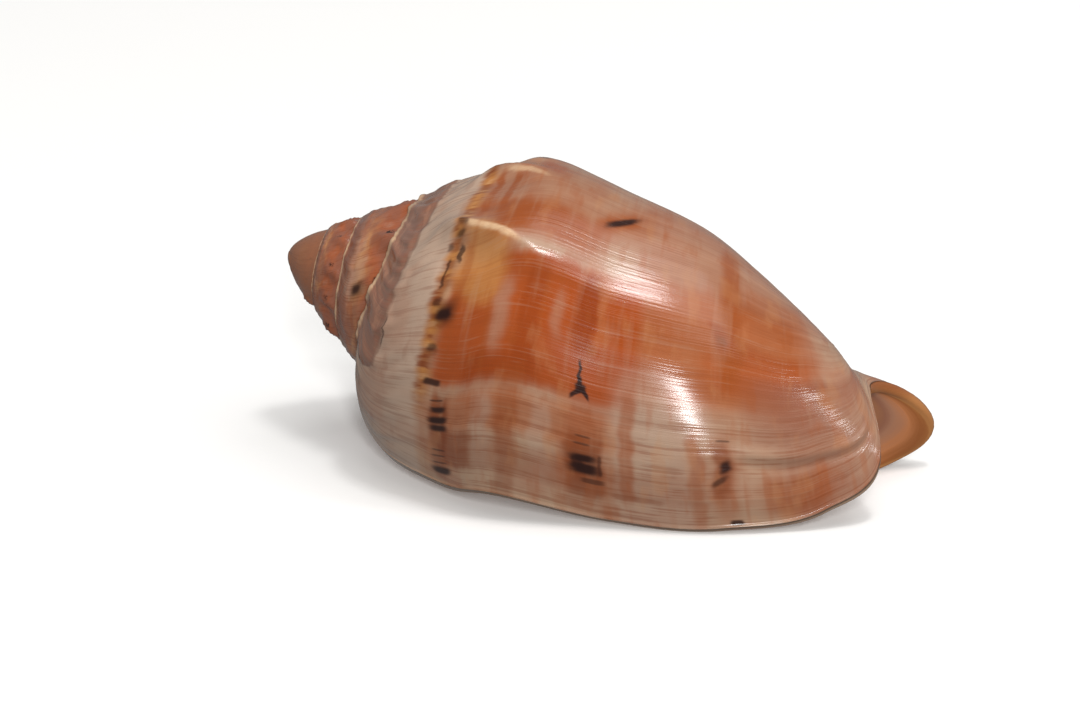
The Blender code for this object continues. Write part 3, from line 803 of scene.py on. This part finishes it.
# Dark marks laid down by the mantle in rows on the shoulder, belly and front,
# told like the washes, without a colour.
MARKS = (
    (0.95, 0.015, 0.215, 0.0034, 0.011, 0.0026, 0.007),
    (0.6, 0.0225, 0.213, 0.0008, 0.0085, 0.0008, 0.004, 0.05),
    (0.6, 0.029, 0.212, 0.0008, 0.008, 0.0008, 0.004, 0.05),
    (0.6, 0.0345, 0.212, 0.0008, 0.008, 0.0008, 0.004),
    (0.95, 0.055, 0.213, 0.003, 0.0105, 0.0024, 0.007),
    (0.98, 0.062, 0.2125, 0.003, 0.011, 0.0024, 0.007),
    (0.95, 0.071, 0.211, 0.0026, 0.009, 0.0022, 0.006),
    (0.7, 0.079, 0.209, 0.0008, 0.007, 0.0008, 0.003),
    (0.9, 0.095, 0.202, 0.0026, 0.0095, 0.0018, 0.004, -0.15),
    (0.7, 0.125, 0.195, 0.0034, 0.005, 0.003, 0.004),
    (0.5, 0.155, 0.202, 0.009, 0.012, 0.008, 0.009),
    (0.98, 0.154, 0.201, 0.0052, 0.0075, 0.0046, 0.005),
    (0.6, 0.166, 0.192, 0.004, 0.004, 0.003, 0.003),
    (0.7, 0.195, 0.189, 0.016, 0.0016, 0.004, 0.002, 0.1),
    (0.75, 0.213, 0.199, 0.008, 0.003, 0.004, 0.002, -0.9),
    (0.7, 0.233, 0.193, 0.003, 0.005, 0.003, 0.004),
    (0.6, 0.224, 0.185, 0.004, 0.003, 0.003, 0.003),
    (0.6, 0.244, 0.193, 0.004, 0.006, 0.003, 0.003, -0.5),
    (0.98, 0.039, 0.381, 0.0042, 0.015, 0.0026, 0.012),
    (0.98, 0.047, 0.38, 0.003, 0.013, 0.0022, 0.011),
    (0.75, 0.043, 0.374, 0.0045, 0.006, 0.0014, 0.004),
    (0.6, 0.03, 0.39, 0.002, 0.012, 0.0012, 0.006),
    (0.55, 0.043, 0.397, 0.008, 0.002, 0.002, 0.002),
    (0.55, 0.058, 0.379, 0.0009, 0.008, 0.0007, 0.004),
    (0.55, 0.0635, 0.379, 0.0009, 0.008, 0.0007, 0.004),
    (0.95, 0.095, 0.369, 0.0022, 0.006, 0.0015, 0.003, 0.6),
    (0.95, 0.0955, 0.378, 0.002, 0.0055, 0.0015, 0.003, -0.6),
    (0.95, 0.0985, 0.3735, 0.0036, 0.0058, 0.002, 0.003),
    (0.95, 0.104, 0.3725, 0.004, 0.0026, 0.002, 0.002),
    (0.95, 0.111, 0.3715, 0.0085, 0.0016, 0.004, 0.0016),
    (0.97, 0.259, 0.392, 0.005, 0.019, 0.004, 0.012, 0.6),
    (0.7, 0.04, 0.525, 0.0026, 0.008, 0.0024, 0.006, 0.4),
    (0.95, 0.0515, 0.531, 0.005, 0.0055, 0.004, 0.005, 0.3),
    (0.55, 0.073, 0.53, 0.0008, 0.007, 0.0007, 0.003),
    (0.9, 0.004, 0.537, 0.0022, 0.006, 0.0015, 0.003),
    (0.65, 0.357, 0.255, 0.007, 0.014, 0.004, 0.008, -0.3),
    (0.4, 1.163, 0.142, 0.016, 0.024, 0.012, 0.018),
    (0.9, 1.165, 0.14, 0.01, 0.014, 0.009, 0.012),
    (0.6, 0.15, 0.12, 0.016, 0.0016, 0.006, 0.002, -0.2),
)

# Rows of marks on the far side: along, half its height, gap in turns, start, slant.
# Every mark in them has the same half width in turns and the same soft edges.
MARK_ROWS = (
    (0.200, 0.010, 0.0909, 0.03, -0.2),
    (0.383, 0.013, 0.1180, 0.05, 0.0),
    (0.530, 0.009, 0.1310, 0.02, 0.2),
)
ROW_MARK_HALF = 0.005
ROW_MARK_EDGES = (0.003, 0.005)

# Grain of the finish: name, size across and along the growth lines in mm, seed, detail.
GRAINS = (
    ("lines", 0.275, 26.0, 1.7, 2.0),
    ("coarse", 2.4, 22.0, 5.1, 2.0),
    ("columns", 18.0, 1.9, 9.3, 2.0),
    ("cloud", 13.0, 9.0, 13.9, 3.0),
    ("speckle", 0.7, 0.7, 17.2, 1.0),
    ("breaks", 1.1, 3.5, 23.4, 2.0),
    ("blotches", 6.5, 2.6, 31.7, 3.0),
)

# Where patches are read: name, the grain that pulls them, how far, from what.
WANDERS = (
    ("wash turns", "columns", 0.013, "turns"),
    ("wash along", "coarse", 0.016, "along"),
    ("mark turns", "breaks", 0.0012, "turns"),
    ("mark along", "breaks", 0.007, "along"),
    ("ramp along", "coarse", 0.020, "along"),
    ("callus along", "columns", 0.020, "along"),
    ("spire along", "coarse", 0.060, "along"),
    ("seam along", "coarse", 0.018, "along"),
)

# How growth lines bend over the ramp, from the suture to past the shoulder.
LINE_BEND = (
    (0.00, (0.0, 0.0, 0.0, 1.0)),
    (0.11, (0.6, 0.6, 0.6, 1.0)),
    (0.24, (0.0, 0.0, 0.0, 1.0)),
)
LINE_LEAN = -0.05

# Grains added up: name, a grain, its share, what it is added to.
BLENDS = (
    ("banded", "columns", 0.45, "cloud"),
    ("broken lines", "breaks", 0.6, "lines"),
    ("line height", "coarse", 1.2, "lines"),
)

# Ranges that coats are held within: name, source, from, to, value there, value here.
RANGES = (
    ("far side", "turns", 0.33, 0.40),
    ("by the lip", "turns", 0.10, 0.07, 0.14, 0.38),
    ("callus reach", "turns", *CALLUS_FROM, 0.0, CALLUS_REACH),
    ("in clouds", "cloud", 0.38, 0.50),
)

# Coats, one over another: colour, strength, source, from, to, what holds it in.
GROWTH_COATS = (
    ("brown", 1.0, "broken lines", 0.80, 0.62, "by the lip"),
    ("cream", 0.14, "broken lines", 0.86, 1.02),
    ("brown", 0.18, "coarse", 0.62, 0.35),
    ("cream", 0.16, "columns", 0.54, 0.72),
    ("rust", 0.32, "columns", 0.44, 0.28),
    ("pale", 0.24, "blotches", 0.54, 0.70),
    ("rust", 0.30, "blotches", 0.44, 0.30),
)
RAMP_COATS = (
    ("callus", 0.42, "broken lines", 0.82, 0.60),
    ("pink", 0.40, "cloud", 0.48, 0.66),
    ("brown", 0.22, "blotches", 0.42, 0.28),
)
BORDER_COATS = (
    ("amber", 0.85, "border", 0.0, 1.0),
    ("ochre", 0.85, "coarse", 0.44, 0.56, "border"),
    ("brown", 0.85, "breaks", 0.54, 0.62, "border"),
    ("crest", 0.20, "breaks", 0.44, 0.34, "border"),
)
CALLUS_COATS = (
    ("mauve", 1.0, "lines", 0.35, 0.70),
    ("pink", 0.55, "blotches", 0.50, 0.62),
)
SPIRE_COATS = (
    ("mauve", 0.75, "cloud", 0.60, 0.46),
    ("rust", 0.32, "blotches", 0.52, 0.64),
    ("ramp", 0.30, "cloud", 0.58, 0.70),
    ("brown", 0.40, "broken lines", 0.82, 0.60),
)
SUTURE_EDGE_AND_SHADE_COATS = (
    ("crest", 0.60, "seam along", 0.028, 0.017),
    # Painted shade: a dark line laid in the suture's groove.
    ("mark", 0.88, "seam along", 0.011, 0.004),
)
FINE_PAINT = ("crest", "mark")  # colours with crisper edges
# The shoulder's border, as a patch: middle turns, middle along and so on.
BORDER = (0.6, 0.191, 0.52, 0.006, 0.02, 0.008)

# Colours across the far side's bands, the spire's whorls and the canal's spout.
FAR_SIDE_STOPS = (
    (0.0, "cream"), (0.52, "pink"), (0.66, "salmon"), (0.78, "orange"), (0.92, "deep"),
)
SPIRE_STOPS = (
    (0.0, "mauve"), (0.085, "callus"), (0.112, "pink"), (0.140, "pale"),
    (0.175, "russet"), (0.220, "russet"), (0.280, "mauve"),
)
SPOUT_STOPS = (
    (0.000, "amber"), (0.006, "ochre"), (0.014, "amber"), (0.028, "throat"),
    (0.042, "pink"), (0.056, "mauve"), (0.085, "ochre"), (0.200, "throat"),
)
SHELL_IOR = 1.53  # aragonite, as light meets it across the growth layers
# Roughness: how much of the grain goes into it, and what it starts from.
OUTSIDE_GLOSS = (0.16, 0.10)
ENAMEL_GLOSS = (0.10, 0.16)
ENAMEL_BAND_MM = (2.5, 12.0)  # growth bands in the enamel, wide and long
# The canal's spout: its middle along the edge, where it starts either side and
# where it is full, and how far its bands wander in turns.
SPOUT_MIDDLE = 0.86
SPOUT_HALF = (0.16, 0.08)
SPOUT_WANDER = 0.03

COLOUR = {"subtype": "COLOR", "size": 4, "min": 0.0, "max": 1.0}


class ShellColours(bpy.types.PropertyGroup):
    """Colours of the shell's finish"""

    cream: FloatVectorProperty(
        name="Cream", description="Ground colour of the outside",
        default=linear("#b29379"), **COLOUR)
    pink: FloatVectorProperty(
        name="Pink", description="Pinkish flush on the back",
        default=linear("#a8755b"), **COLOUR)
    salmon: FloatVectorProperty(
        name="Salmon", description="Paler orange wash on the belly",
        default=linear("#a04c12"), **COLOUR)
    orange: FloatVectorProperty(
        name="Orange", description="Strong orange wash below the shoulder",
        default=linear("#a04200"), **COLOUR)
    deep: FloatVectorProperty(
        name="Deep orange", description="Darker streaks in the orange",
        default=linear("#8c3600"), **COLOUR)
    ochre: FloatVectorProperty(
        name="Ochre", description="Yellowish hollow in front of the sharpest knob",
        default=linear("#be8045"), **COLOUR)
    rust: FloatVectorProperty(
        name="Rust", description="Red-brown streaks and bands",
        default=linear("#984a1a"), **COLOUR)
    brown: FloatVectorProperty(
        name="Brown", description="Dull brown bands by the lip",
        default=linear("#7c3a16"), **COLOUR)
    pale: FloatVectorProperty(
        name="Pale", description="Pale columns in the orange",
        default=linear("#ba8054"), **COLOUR)
    # Also a painted highlight where it runs along the knobs' ridges.
    crest: FloatVectorProperty(
        name="Crests", description="Pale worn crests of the knobs",
        default=linear("#e2be96"), **COLOUR)
    ramp: FloatVectorProperty(
        name="Ramp", description="Grey-beige of the ramp behind the shoulder",
        default=linear("#b79b86"), **COLOUR)
    callus: FloatVectorProperty(
        name="Callus", description="Mauve-brown band along the suture",
        default=linear("#8b624e"), **COLOUR)
    russet: FloatVectorProperty(
        name="Russet", description="Dull orange of the spire",
        default=linear("#a45a38"), **COLOUR)
    amber: FloatVectorProperty(
        name="Amber", description="Yellow-brown border of the shoulder",
        default=linear("#8c480c"), **COLOUR)
    mauve: FloatVectorProperty(
        name="Mauve", description="Rosy brown flush of the callus and spire",
        default=linear("#8e5a46"), **COLOUR)
    # This dark is also used for painted shade lines in the suture's groove and along the callus's
    # edge.
    mark: FloatVectorProperty(
        name="Marks", description="Nearly black marks of the mantle",
        default=linear("#260a04"), **COLOUR)
    bud: FloatVectorProperty(
        name="First whorls", description="Smooth brown of the blunt tip of the spire",
        default=linear("#956043"), **COLOUR)
    enamel: FloatVectorProperty(
        name="Mouth enamel", description="Apricot enamel inside the mouth",
        default=linear("#d39a66"), **COLOUR)
    throat: FloatVectorProperty(
        name="Throat", description="Deeper orange far inside the mouth",
        default=linear("#c07748"), **COLOUR)


class ShellSizes(bpy.types.PropertyGroup):
    """Sizes of the shell's fine relief and mesh"""

    rows: IntProperty(
        name="Rows", description="Rows of the mesh on the last whorl", default=240, min=36, max=300
    )
    line_spacing: FloatProperty(
        name="Growth line spacing", description="Usual distance between growth lines",
        default=0.00055, min=0.0002, max=0.005, unit="LENGTH", precision=5,
    )
    line_depth: FloatProperty(
        name="Growth line depth", description="Depth of the growth lines",
        default=0.00004, min=0.0, max=0.001, unit="LENGTH", precision=5,
    )


class StudioSettings(bpy.types.PropertyGroup):
    """Floor, light and camera"""

    floor_colour: FloatVectorProperty(
        name="Floor", description="Colour of the floor",
        default=linear("#f4f3f1"), **COLOUR)
    fill: FloatProperty(
        name="Fill", description="Strength of the light from all round",
        default=0.27, min=0.0, max=5.0,
    )
    overhead: FloatProperty(
        name="Overhead light", description="Power of the large light above",
        default=8.2, min=0.0, max=200.0, unit="POWER",
    )
    lens: FloatProperty(
        name="Lens", description="Focal length of the camera",
        default=0.15679, min=0.01, max=1.0, subtype="DISTANCE_CAMERA", unit="CAMERA",
    )


def growth_coordinates(tree):
    """The turns, along and depth that each point carries, as sockets."""
    read = add_node(tree, "ShaderNodeAttribute", attribute_name="growth").outputs["Vector"]
    return add_node(tree, "ShaderNodeSeparateXYZ", (read,)).outputs


def outer_shell_material(colours, sizes):
    """Polished aragonite, tumbled and oiled: warm porcelain gloss, broken into
    short streaks by growth lines, over washes of orange and dark mantle marks."""
    material, tree, shader = new_finish("polished shell outside")
    turns, along, _ = growth_coordinates(tree)
    patch = patch_group()

    # Growth lines bend a little on the ramp, back to its middle and forward again.
    lean = add_node(tree, "ShaderNodeValToRGB", (along,), stops=LINE_BEND)
    lean.color_ramp.interpolation = "B_SPLINE"
    grown = add_node(tree, "ShaderNodeMath", (lean, LINE_LEAN, turns), operation="MULTIPLY_ADD")
    place = add_node(tree, "ShaderNodeCombineXYZ", (grown, along))

    read = {"turns": turns, "along": along}
    for name, across_mm, along_mm, seed, detail in GRAINS:
        if name == "lines":
            across_mm = sizes.line_spacing / MM / 2.0  # two steps of noise to a line
        scale = (ROUND_MM / across_mm, EDGE_MM / along_mm, 1.0)
        moved = (place, scale, (0.0, 0.0, seed))
        moved = add_node(tree, "ShaderNodeVectorMath", moved, operation="MULTIPLY_ADD")
        noise = {"Vector": moved, "Scale": 1.0, "Detail": detail}
        read[name] = add_node(tree, "ShaderNodeTexNoise", noise)

    # Brush-stroke edges: every patch is read at a slightly wandering place.
    for name, by, far, start in WANDERS:
        pull = add_node(tree, "ShaderNodeMath", (read[by], 0.5), operation="SUBTRACT")
        pulled = (pull, far, read[start])
        read[name] = add_node(tree, "ShaderNodeMath", pulled, operation="MULTIPLY_ADD")

    # Sums and ranges that several coats share.
    for name, first, share, second in BLENDS:
        mixed = (read[first], share, read[second])
        read[name] = add_node(tree, "ShaderNodeMath", mixed, operation="MULTIPLY_ADD")
    for name, source, *span in RANGES:
        span = dict(zip(("From Min", "From Max", "To Min", "To Max"), span))
        span["Value"] = read[source]
        read[name] = add_node(tree, "ShaderNodeMapRange", span, interpolation_type="SMOOTHSTEP")
    inside = (read["callus reach"], read["callus along"])
    read["inside callus"] = add_node(tree, "ShaderNodeMath", inside, operation="SUBTRACT")
    edge = {"Value": read["inside callus"], "From Min": -0.004, "From Max": 0.0}
    edge = add_node(tree, "ShaderNodeMapRange", edge, interpolation_type="SMOOTHSTEP")
    read["callus edge"] = edge

    def coat(under, over, strength, source, low, high, *within):
        """Lay a colour where the source runs from low to high, inside other covers."""
        under, over = (getattr(colours, c) if isinstance(c, str) else c for c in (under, over))
        span = {"Value": read.get(source, source), "From Min": low, "From Max": high}
        span["To Max"] = strength
        shown = add_node(tree, "ShaderNodeMapRange", span, interpolation_type="SMOOTHSTEP")
        for other in within:
            shown = (shown, read.get(other, other))
            shown = add_node(tree, "ShaderNodeMath", shown, operation="MULTIPLY")
        mixed = {0: shown, 6: under, 7: over}
        return add_node(tree, "ShaderNodeMix", mixed, data_type="RGBA").outputs[2]

    def coats(colour, rows):
        """Lay coats one over another."""
        for row in rows:
            colour = coat(colour, *row)
        return colour

    def painted(colour, rows, kind):
        """Lay patches of colour one over another, read at the wandering places."""
        for over, strength, *shape in rows:
            by = "mark" if over in FINE_PAINT else kind
            given = (read[by + " turns"], read[by + " along"], *shape)
            cover = add_node(tree, "ShaderNodeGroup", given, node_tree=patch)
            colour = coat(colour, over, strength, cover, 0.0, 1.0)
        return colour

    # Ground: cream, flushed pink in clouds; on the far side the washes come and
    # go in bands of growth.
    stops = [(at, getattr(colours, name)) for at, name in FAR_SIDE_STOPS]
    washed = add_node(tree, "ShaderNodeValToRGB", (read["banded"],), stops=stops)
    colour = coat("cream", "pink", 1.0, "cloud", 0.38, 0.68)
    colour = painted(coat(colour, washed, 1.0, "turns", 0.33, 0.40), WASHES, "wash")
    # Each growth line is a touch darker or lighter than the last, most by the lip.
    colour = coats(colour, GROWTH_COATS)

    # Ramp: grey-beige, lined and rubbed, with a border on the shoulder and the
    # callus laid along the suture.
    colour = coat(colour, coats("ramp", RAMP_COATS), 1.0, "ramp along", 0.194, 0.182)
    given = (turns, read["mark along"], *BORDER)
    read["border"] = add_node(tree, "ShaderNodeGroup", given, node_tree=patch)
    colour = coats(colour, BORDER_COATS)
    colour = coat(colour, coats("callus", CALLUS_COATS), 0.9, "inside callus", -0.004, 0.006)
    # Painted shade: a broken dark line along the callus's raised edge.
    colour = coat(colour, "mark", 0.45, "inside callus", 0.007, 0.002, "callus edge", "blotches")

    # The spire: mauve behind, a soft pale line on the shoulder, rosier in front.
    stops = [(at, getattr(colours, name)) for at, name in SPIRE_STOPS]
    spire = add_node(tree, "ShaderNodeValToRGB", (read["spire along"],), stops=stops)
    colour = coat(colour, coats(spire, SPIRE_COATS), 1.0, "turns", 0.97, 1.03)
    # Along the suture: a pale edge, then a painted shade line in the suture's groove.
    colour = coats(colour, SUTURE_EDGE_AND_SHADE_COATS)

    # Dark marks: those of the near side one by one, those further back in rows.
    colour = painted(colour, [("mark", *row) for row in MARKS], "mark")
    for middle, half, gap, start, slant in MARK_ROWS:
        repeated = (read["mark turns"], gap / 2.0, -gap / 2.0)
        repeated = add_node(tree, "ShaderNodeMath", repeated, operation="WRAP")
        shape = (start - gap / 2.0, middle, ROW_MARK_HALF, half, *ROW_MARK_EDGES, slant)
        given = (repeated, read["mark along"], *shape)
        cover = add_node(tree, "ShaderNodeGroup", given, node_tree=patch)
        colour = coat(colour, "mark", 1.0, "speckle", 0.30, 0.55, cover, "in clouds", "far side")

    # The blunt first whorls are smooth and plainly brown.
    colour = coat(colour, "bud", 0.85, "turns", 2.75, 3.05)

    # Fine growth lines, ridges 0.3 to 0.8 mm apart and some tens of microns high.
    gloss = (read["lines"], *OUTSIDE_GLOSS)
    bump = {"Strength": 1.0, "Distance": sizes.line_depth, "Height": read["line height"]}
    feed(shader, {
        "Base Color": colour,
        "Roughness": add_node(tree, "ShaderNodeMath", gloss, operation="MULTIPLY_ADD"),
        "Normal": add_node(tree, "ShaderNodeBump", bump),
        "IOR": SHELL_IOR,
        "Specular IOR Level": 0.38,  # rubbed dull by the sea, then oiled
        "Metallic": 0.0,
    })
    return material


def mouth_enamel_material(colours):
    """Smooth enamel, laid by the mantle and never worn: apricot with a wet gloss,
    deepening into the throat, with faint growth bands along the lip."""
    material, tree, shader = new_finish("mouth enamel")
    turns, along, depth = growth_coordinates(tree)
    place = add_node(tree, "ShaderNodeCombineXYZ", (turns, along, depth))
    # Growth bands are seen faintly through the enamel.
    scale = (ROUND_MM / ENAMEL_BAND_MM[0], EDGE_MM / ENAMEL_BAND_MM[1], 20.0)
    scaled = add_node(tree, "ShaderNodeVectorMath", (place, scale), operation="MULTIPLY")
    bands = {"Vector": scaled, "Scale": 1.0, "Detail": 3.0}
    bands = add_node(tree, "ShaderNodeTexNoise", bands)
    # The spout of the canal is thinner, so its brown bands show through.
    spout = add_node(tree, "ShaderNodeMath", (along, SPOUT_MIDDLE), operation="SUBTRACT")
    spout = add_node(tree, "ShaderNodeMath", (spout,), operation="ABSOLUTE")
    spout = {"Value": spout, "From Min": SPOUT_HALF[0], "From Max": SPOUT_HALF[1]}
    spout = add_node(tree, "ShaderNodeMapRange", spout, interpolation_type="SMOOTHSTEP")
    across = (bands, SPOUT_WANDER, depth)
    across = add_node(tree, "ShaderNodeMath", across, operation="MULTIPLY_ADD")
    across = (across, SPOUT_WANDER / 2.0)
    across = add_node(tree, "ShaderNodeMath", across, operation="SUBTRACT")
    stops = [(at, getattr(colours, name)) for at, name in SPOUT_STOPS]
    spout_colour = add_node(tree, "ShaderNodeValToRGB", (across,), stops=stops)
    covers = (
        (colours.throat, depth, 0.02, 0.35, 1.0),
        (colours.cream, depth, 0.008, 0.0015, 1.0),
        (colours.pink, bands, 0.35, 0.70, 0.35),
        (spout_colour, spout, 0.0, 1.0, 0.9),
    )
    colour = colours.enamel
    for over, source, low, high, strength in covers:
        span = {"Value": source, "From Min": low, "From Max": high, "To Max": strength}
        mixed = {0: add_node(tree, "ShaderNodeMapRange", span), 6: colour, 7: over}
        colour = add_node(tree, "ShaderNodeMix", mixed, data_type="RGBA").outputs[2]
    gloss = (bands, *ENAMEL_GLOSS)
    bump = {"Strength": 0.6, "Distance": 0.00006, "Height": bands}
    feed(shader, {
        "Base Color": colour,
        "Roughness": add_node(tree, "ShaderNodeMath", gloss, operation="MULTIPLY_ADD"),
        "Normal": add_node(tree, "ShaderNodeBump", bump),
        "IOR": SHELL_IOR,
    })
    return material


class VOLUTE_OT_shell(bpy.types.Operator):
    """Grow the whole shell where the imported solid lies"""

    bl_idname = "volute.shell"
    bl_label = "Shell"

    def execute(self, context):
        sizes = context.scene.volute_sizes
        colours = context.scene.volute_colours
        turned = resting_frame()
        move = resting_place(turned)
        places = edge_places(EDGE_COLUMNS, SIDE_COLUMNS, FRONT_COLUMNS)
        spire_rows = int(round(SPIRE_ROWS_PER_TURN * (BUD_END - 1.0)))
        counts = (EDGE_COLUMNS, sizes.rows, spire_rows, RIM_LOOPS, DEPTH_LOOPS)
        skin = Skin(grown_knobs, fine_relief, places, *counts)
        points = (np.concatenate(skin.points) @ turned.T + move) * MM
        quads = np.concatenate(skin.quads).tolist()
        faces = [[c for n, c in enumerate(quad) if c != quad[n - 1]] for quad in quads]
        data = bpy.data.meshes.new("volute_shell")
        data.from_pydata(points.tolist(), [], faces)
        if data.validate():
            raise RuntimeError("the shell's mesh has a broken face")
        growth = data.attributes.new("growth", "FLOAT_VECTOR", "POINT")
        growth.data.foreach_set("vector", np.concatenate(skin.grown).ravel())
        data.materials.append(outer_shell_material(colours, sizes))
        data.materials.append(mouth_enamel_material(colours))
        data.polygons.foreach_set("material_index", np.concatenate(skin.finish))
        data.shade_smooth()
        shell = bpy.data.objects.new("volute_shell", data)
        context.scene.collection.objects.link(shell)
        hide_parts("shell")
        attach(shell, "root")
        return {"FINISHED"}


# Lamps: name, compass degrees from +Y towards +X, height in degrees, distance,
# width and height of the lamp in metres, power in watts
LAMPS = (
    ("overhead soft box", 95.0, 79.0, 1.0, 0.19, 0.12, 2.4),
    ("tall window", 158.0, 25.0, 1.0, 0.09, 0.42, 6.0),
    ("side window", 92.0, 33.0, 1.0, 0.12, 0.12, 1.2),
)
OVERHEAD = ("large overhead light", 60.0, 78.0, 1.4, 1.2, 1.2)
FLOOR_HALF = 3.0  # metres
PAPER_TOOTH = 900.0  # steps of the fibres across the floor, drawn coarse so that they show

# Camera: degrees from +Y towards +X, down and of tilt, and in lengths of the
# shell how far off it stands and where it aims, back from the middle and up
CAMERA_COMPASS = -18.430
CAMERA_DOWN = 20.806
CAMERA_TILT = 0.989
CAMERA_AWAY = 7.1163
AIM_BACK = 0.0821
AIM_UP = 0.1524


def heading(compass, rise):
    """The way that points to a compass bearing from +Y and rises, in degrees."""
    turn, rise = math.radians(compass), math.radians(rise)
    level = math.cos(rise)
    return Vector((math.sin(turn) * level, math.cos(turn) * level, math.sin(rise)))


class VOLUTE_OT_studio(bpy.types.Operator):
    """Lay the floor and set up the lights and the camera"""

    bl_idname = "volute.studio"
    bl_label = "Floor, lights and camera"

    def execute(self, context):
        settings = context.scene.volute_studio
        self.lay_floor(context, settings)
        self.light(context, settings)
        self.aim_camera(context, settings)
        return {"FINISHED"}

    def lay_floor(self, context, settings):
        """Matt white backdrop paper: no gloss, faint tooth of the fibres."""
        data = bpy.data.meshes.new("floor")
        ways = ((-1, -1), (1, -1), (1, 1), (-1, 1))
        corners = [(x * FLOOR_HALF, y * FLOOR_HALF, 0.0) for x, y in ways]
        data.from_pydata(corners, [], [(0, 1, 2, 3)])
        paper, tree, shader = new_finish("matt backdrop paper")
        tooth = add_node(tree, "ShaderNodeTexNoise", {"Scale": PAPER_TOOTH, "Detail": 2.0})
        bump = {"Strength": 0.1, "Distance": 0.0001, "Height": tooth}
        feed(shader, {
            "Base Color": settings.floor_colour,
            "Roughness": 0.95,
            "Specular IOR Level": 0.1,
            "Emission Color": settings.floor_colour,
            "Emission Strength": 0.12,
            "Normal": add_node(tree, "ShaderNodeBump", bump),
        })
        data.materials.append(paper)
        floor = bpy.data.objects.new("floor", data)
        # The paper doesn't light the shell from below, as if it lay on a dark table.
        floor.visible_diffuse = False
        floor.visible_glossy = False
        context.scene.collection.objects.link(floor)

    def light(self, context, settings):
        """An even white surround, three soft lamps and a large one above."""
        world = bpy.data.worlds.new("soft studio")
        world.use_nodes = True
        surround = {"Color": (1.0, 1.0, 1.0, 1.0), "Strength": settings.fill}
        feed(world.node_tree.nodes["Background"], surround)
        context.scene.world = world
        middle = (CAD_LOW + CAD_HIGH) / 2.0
        for name, compass, rise, distance, wide, tall, power in (
            *LAMPS, (*OVERHEAD, settings.overhead),
        ):
            away = heading(compass, rise)
            data = bpy.data.lights.new(name, "AREA")
            data.shape = "RECTANGLE"
            data.size, data.size_y = wide, tall
            data.energy = power
            lamp = bpy.data.objects.new(name, data)
            lamp.location = middle + away * distance
            lamp.rotation_euler = away.to_track_quat("Z", "Y").to_euler()
            context.scene.collection.objects.link(lamp)

    def aim_camera(self, context, settings):
        """Look from in front of the lip and the front tip, from a little above."""
        long_side = CAD_HIGH.x - CAD_LOW.x
        aim = (CAD_LOW + CAD_HIGH) / 2.0
        aim.x -= AIM_BACK * long_side
        aim.z = CAD_LOW.z + AIM_UP * long_side
        tilt = math.radians(CAMERA_TILT)
        view = heading(CAMERA_COMPASS, -CAMERA_DOWN)
        right = view.cross(Vector((0.0, 0.0, 1.0))).normalized()
        below = view.cross(right)
        level = right * math.cos(tilt) + below * math.sin(tilt)
        under = below * math.cos(tilt) - right * math.sin(tilt)
        turned = Matrix((level, -under, -view)).transposed().to_4x4()
        data = bpy.data.cameras.new("camera")
        data.sensor_width = 36.0
        data.lens = settings.lens / MM
        data.clip_start = 0.01
        camera = bpy.data.objects.new("camera", data)
        place = aim - view * CAMERA_AWAY * long_side
        camera.matrix_world = Matrix.Translation(place) @ turned
        context.scene.collection.objects.link(camera)
        context.scene.camera = camera
        context.scene.view_settings.view_transform = "Standard"


class VOLUTE_PT_panel(bpy.types.Panel):
    """Everything the shell is made with"""

    bl_idname = "VOLUTE_PT_panel"
    bl_label = "Volute shell"
    bl_space_type = "VIEW_3D"
    bl_region_type = "UI"
    bl_category = "Shell"

    def draw(self, context):
        for group in ("volute_sizes", "volute_colours", "volute_studio"):
            settings = getattr(context.scene, group)
            box = self.layout.box()
            for name in settings.__annotations__:
                box.prop(settings, name)
        for operator in (VOLUTE_OT_shell, VOLUTE_OT_studio):
            self.layout.operator(operator.bl_idname)


CLASSES = (
    ShellSizes, ShellColours, StudioSettings, VOLUTE_OT_shell, VOLUTE_OT_studio, VOLUTE_PT_panel,
)


def register():
    for each in CLASSES:
        bpy.utils.register_class(each)
    bpy.types.Scene.volute_sizes = PointerProperty(type=ShellSizes)
    bpy.types.Scene.volute_colours = PointerProperty(type=ShellColours)
    bpy.types.Scene.volute_studio = PointerProperty(type=StudioSettings)


def unregister():
    for name in ("volute_studio", "volute_colours", "volute_sizes"):
        delattr(bpy.types.Scene, name)
    for each in reversed(CLASSES):
        bpy.utils.unregister_class(each)


def main():
    register()
    bpy.ops.volute.shell()
    bpy.ops.volute.studio()


if __name__ == "__main__":
    main()
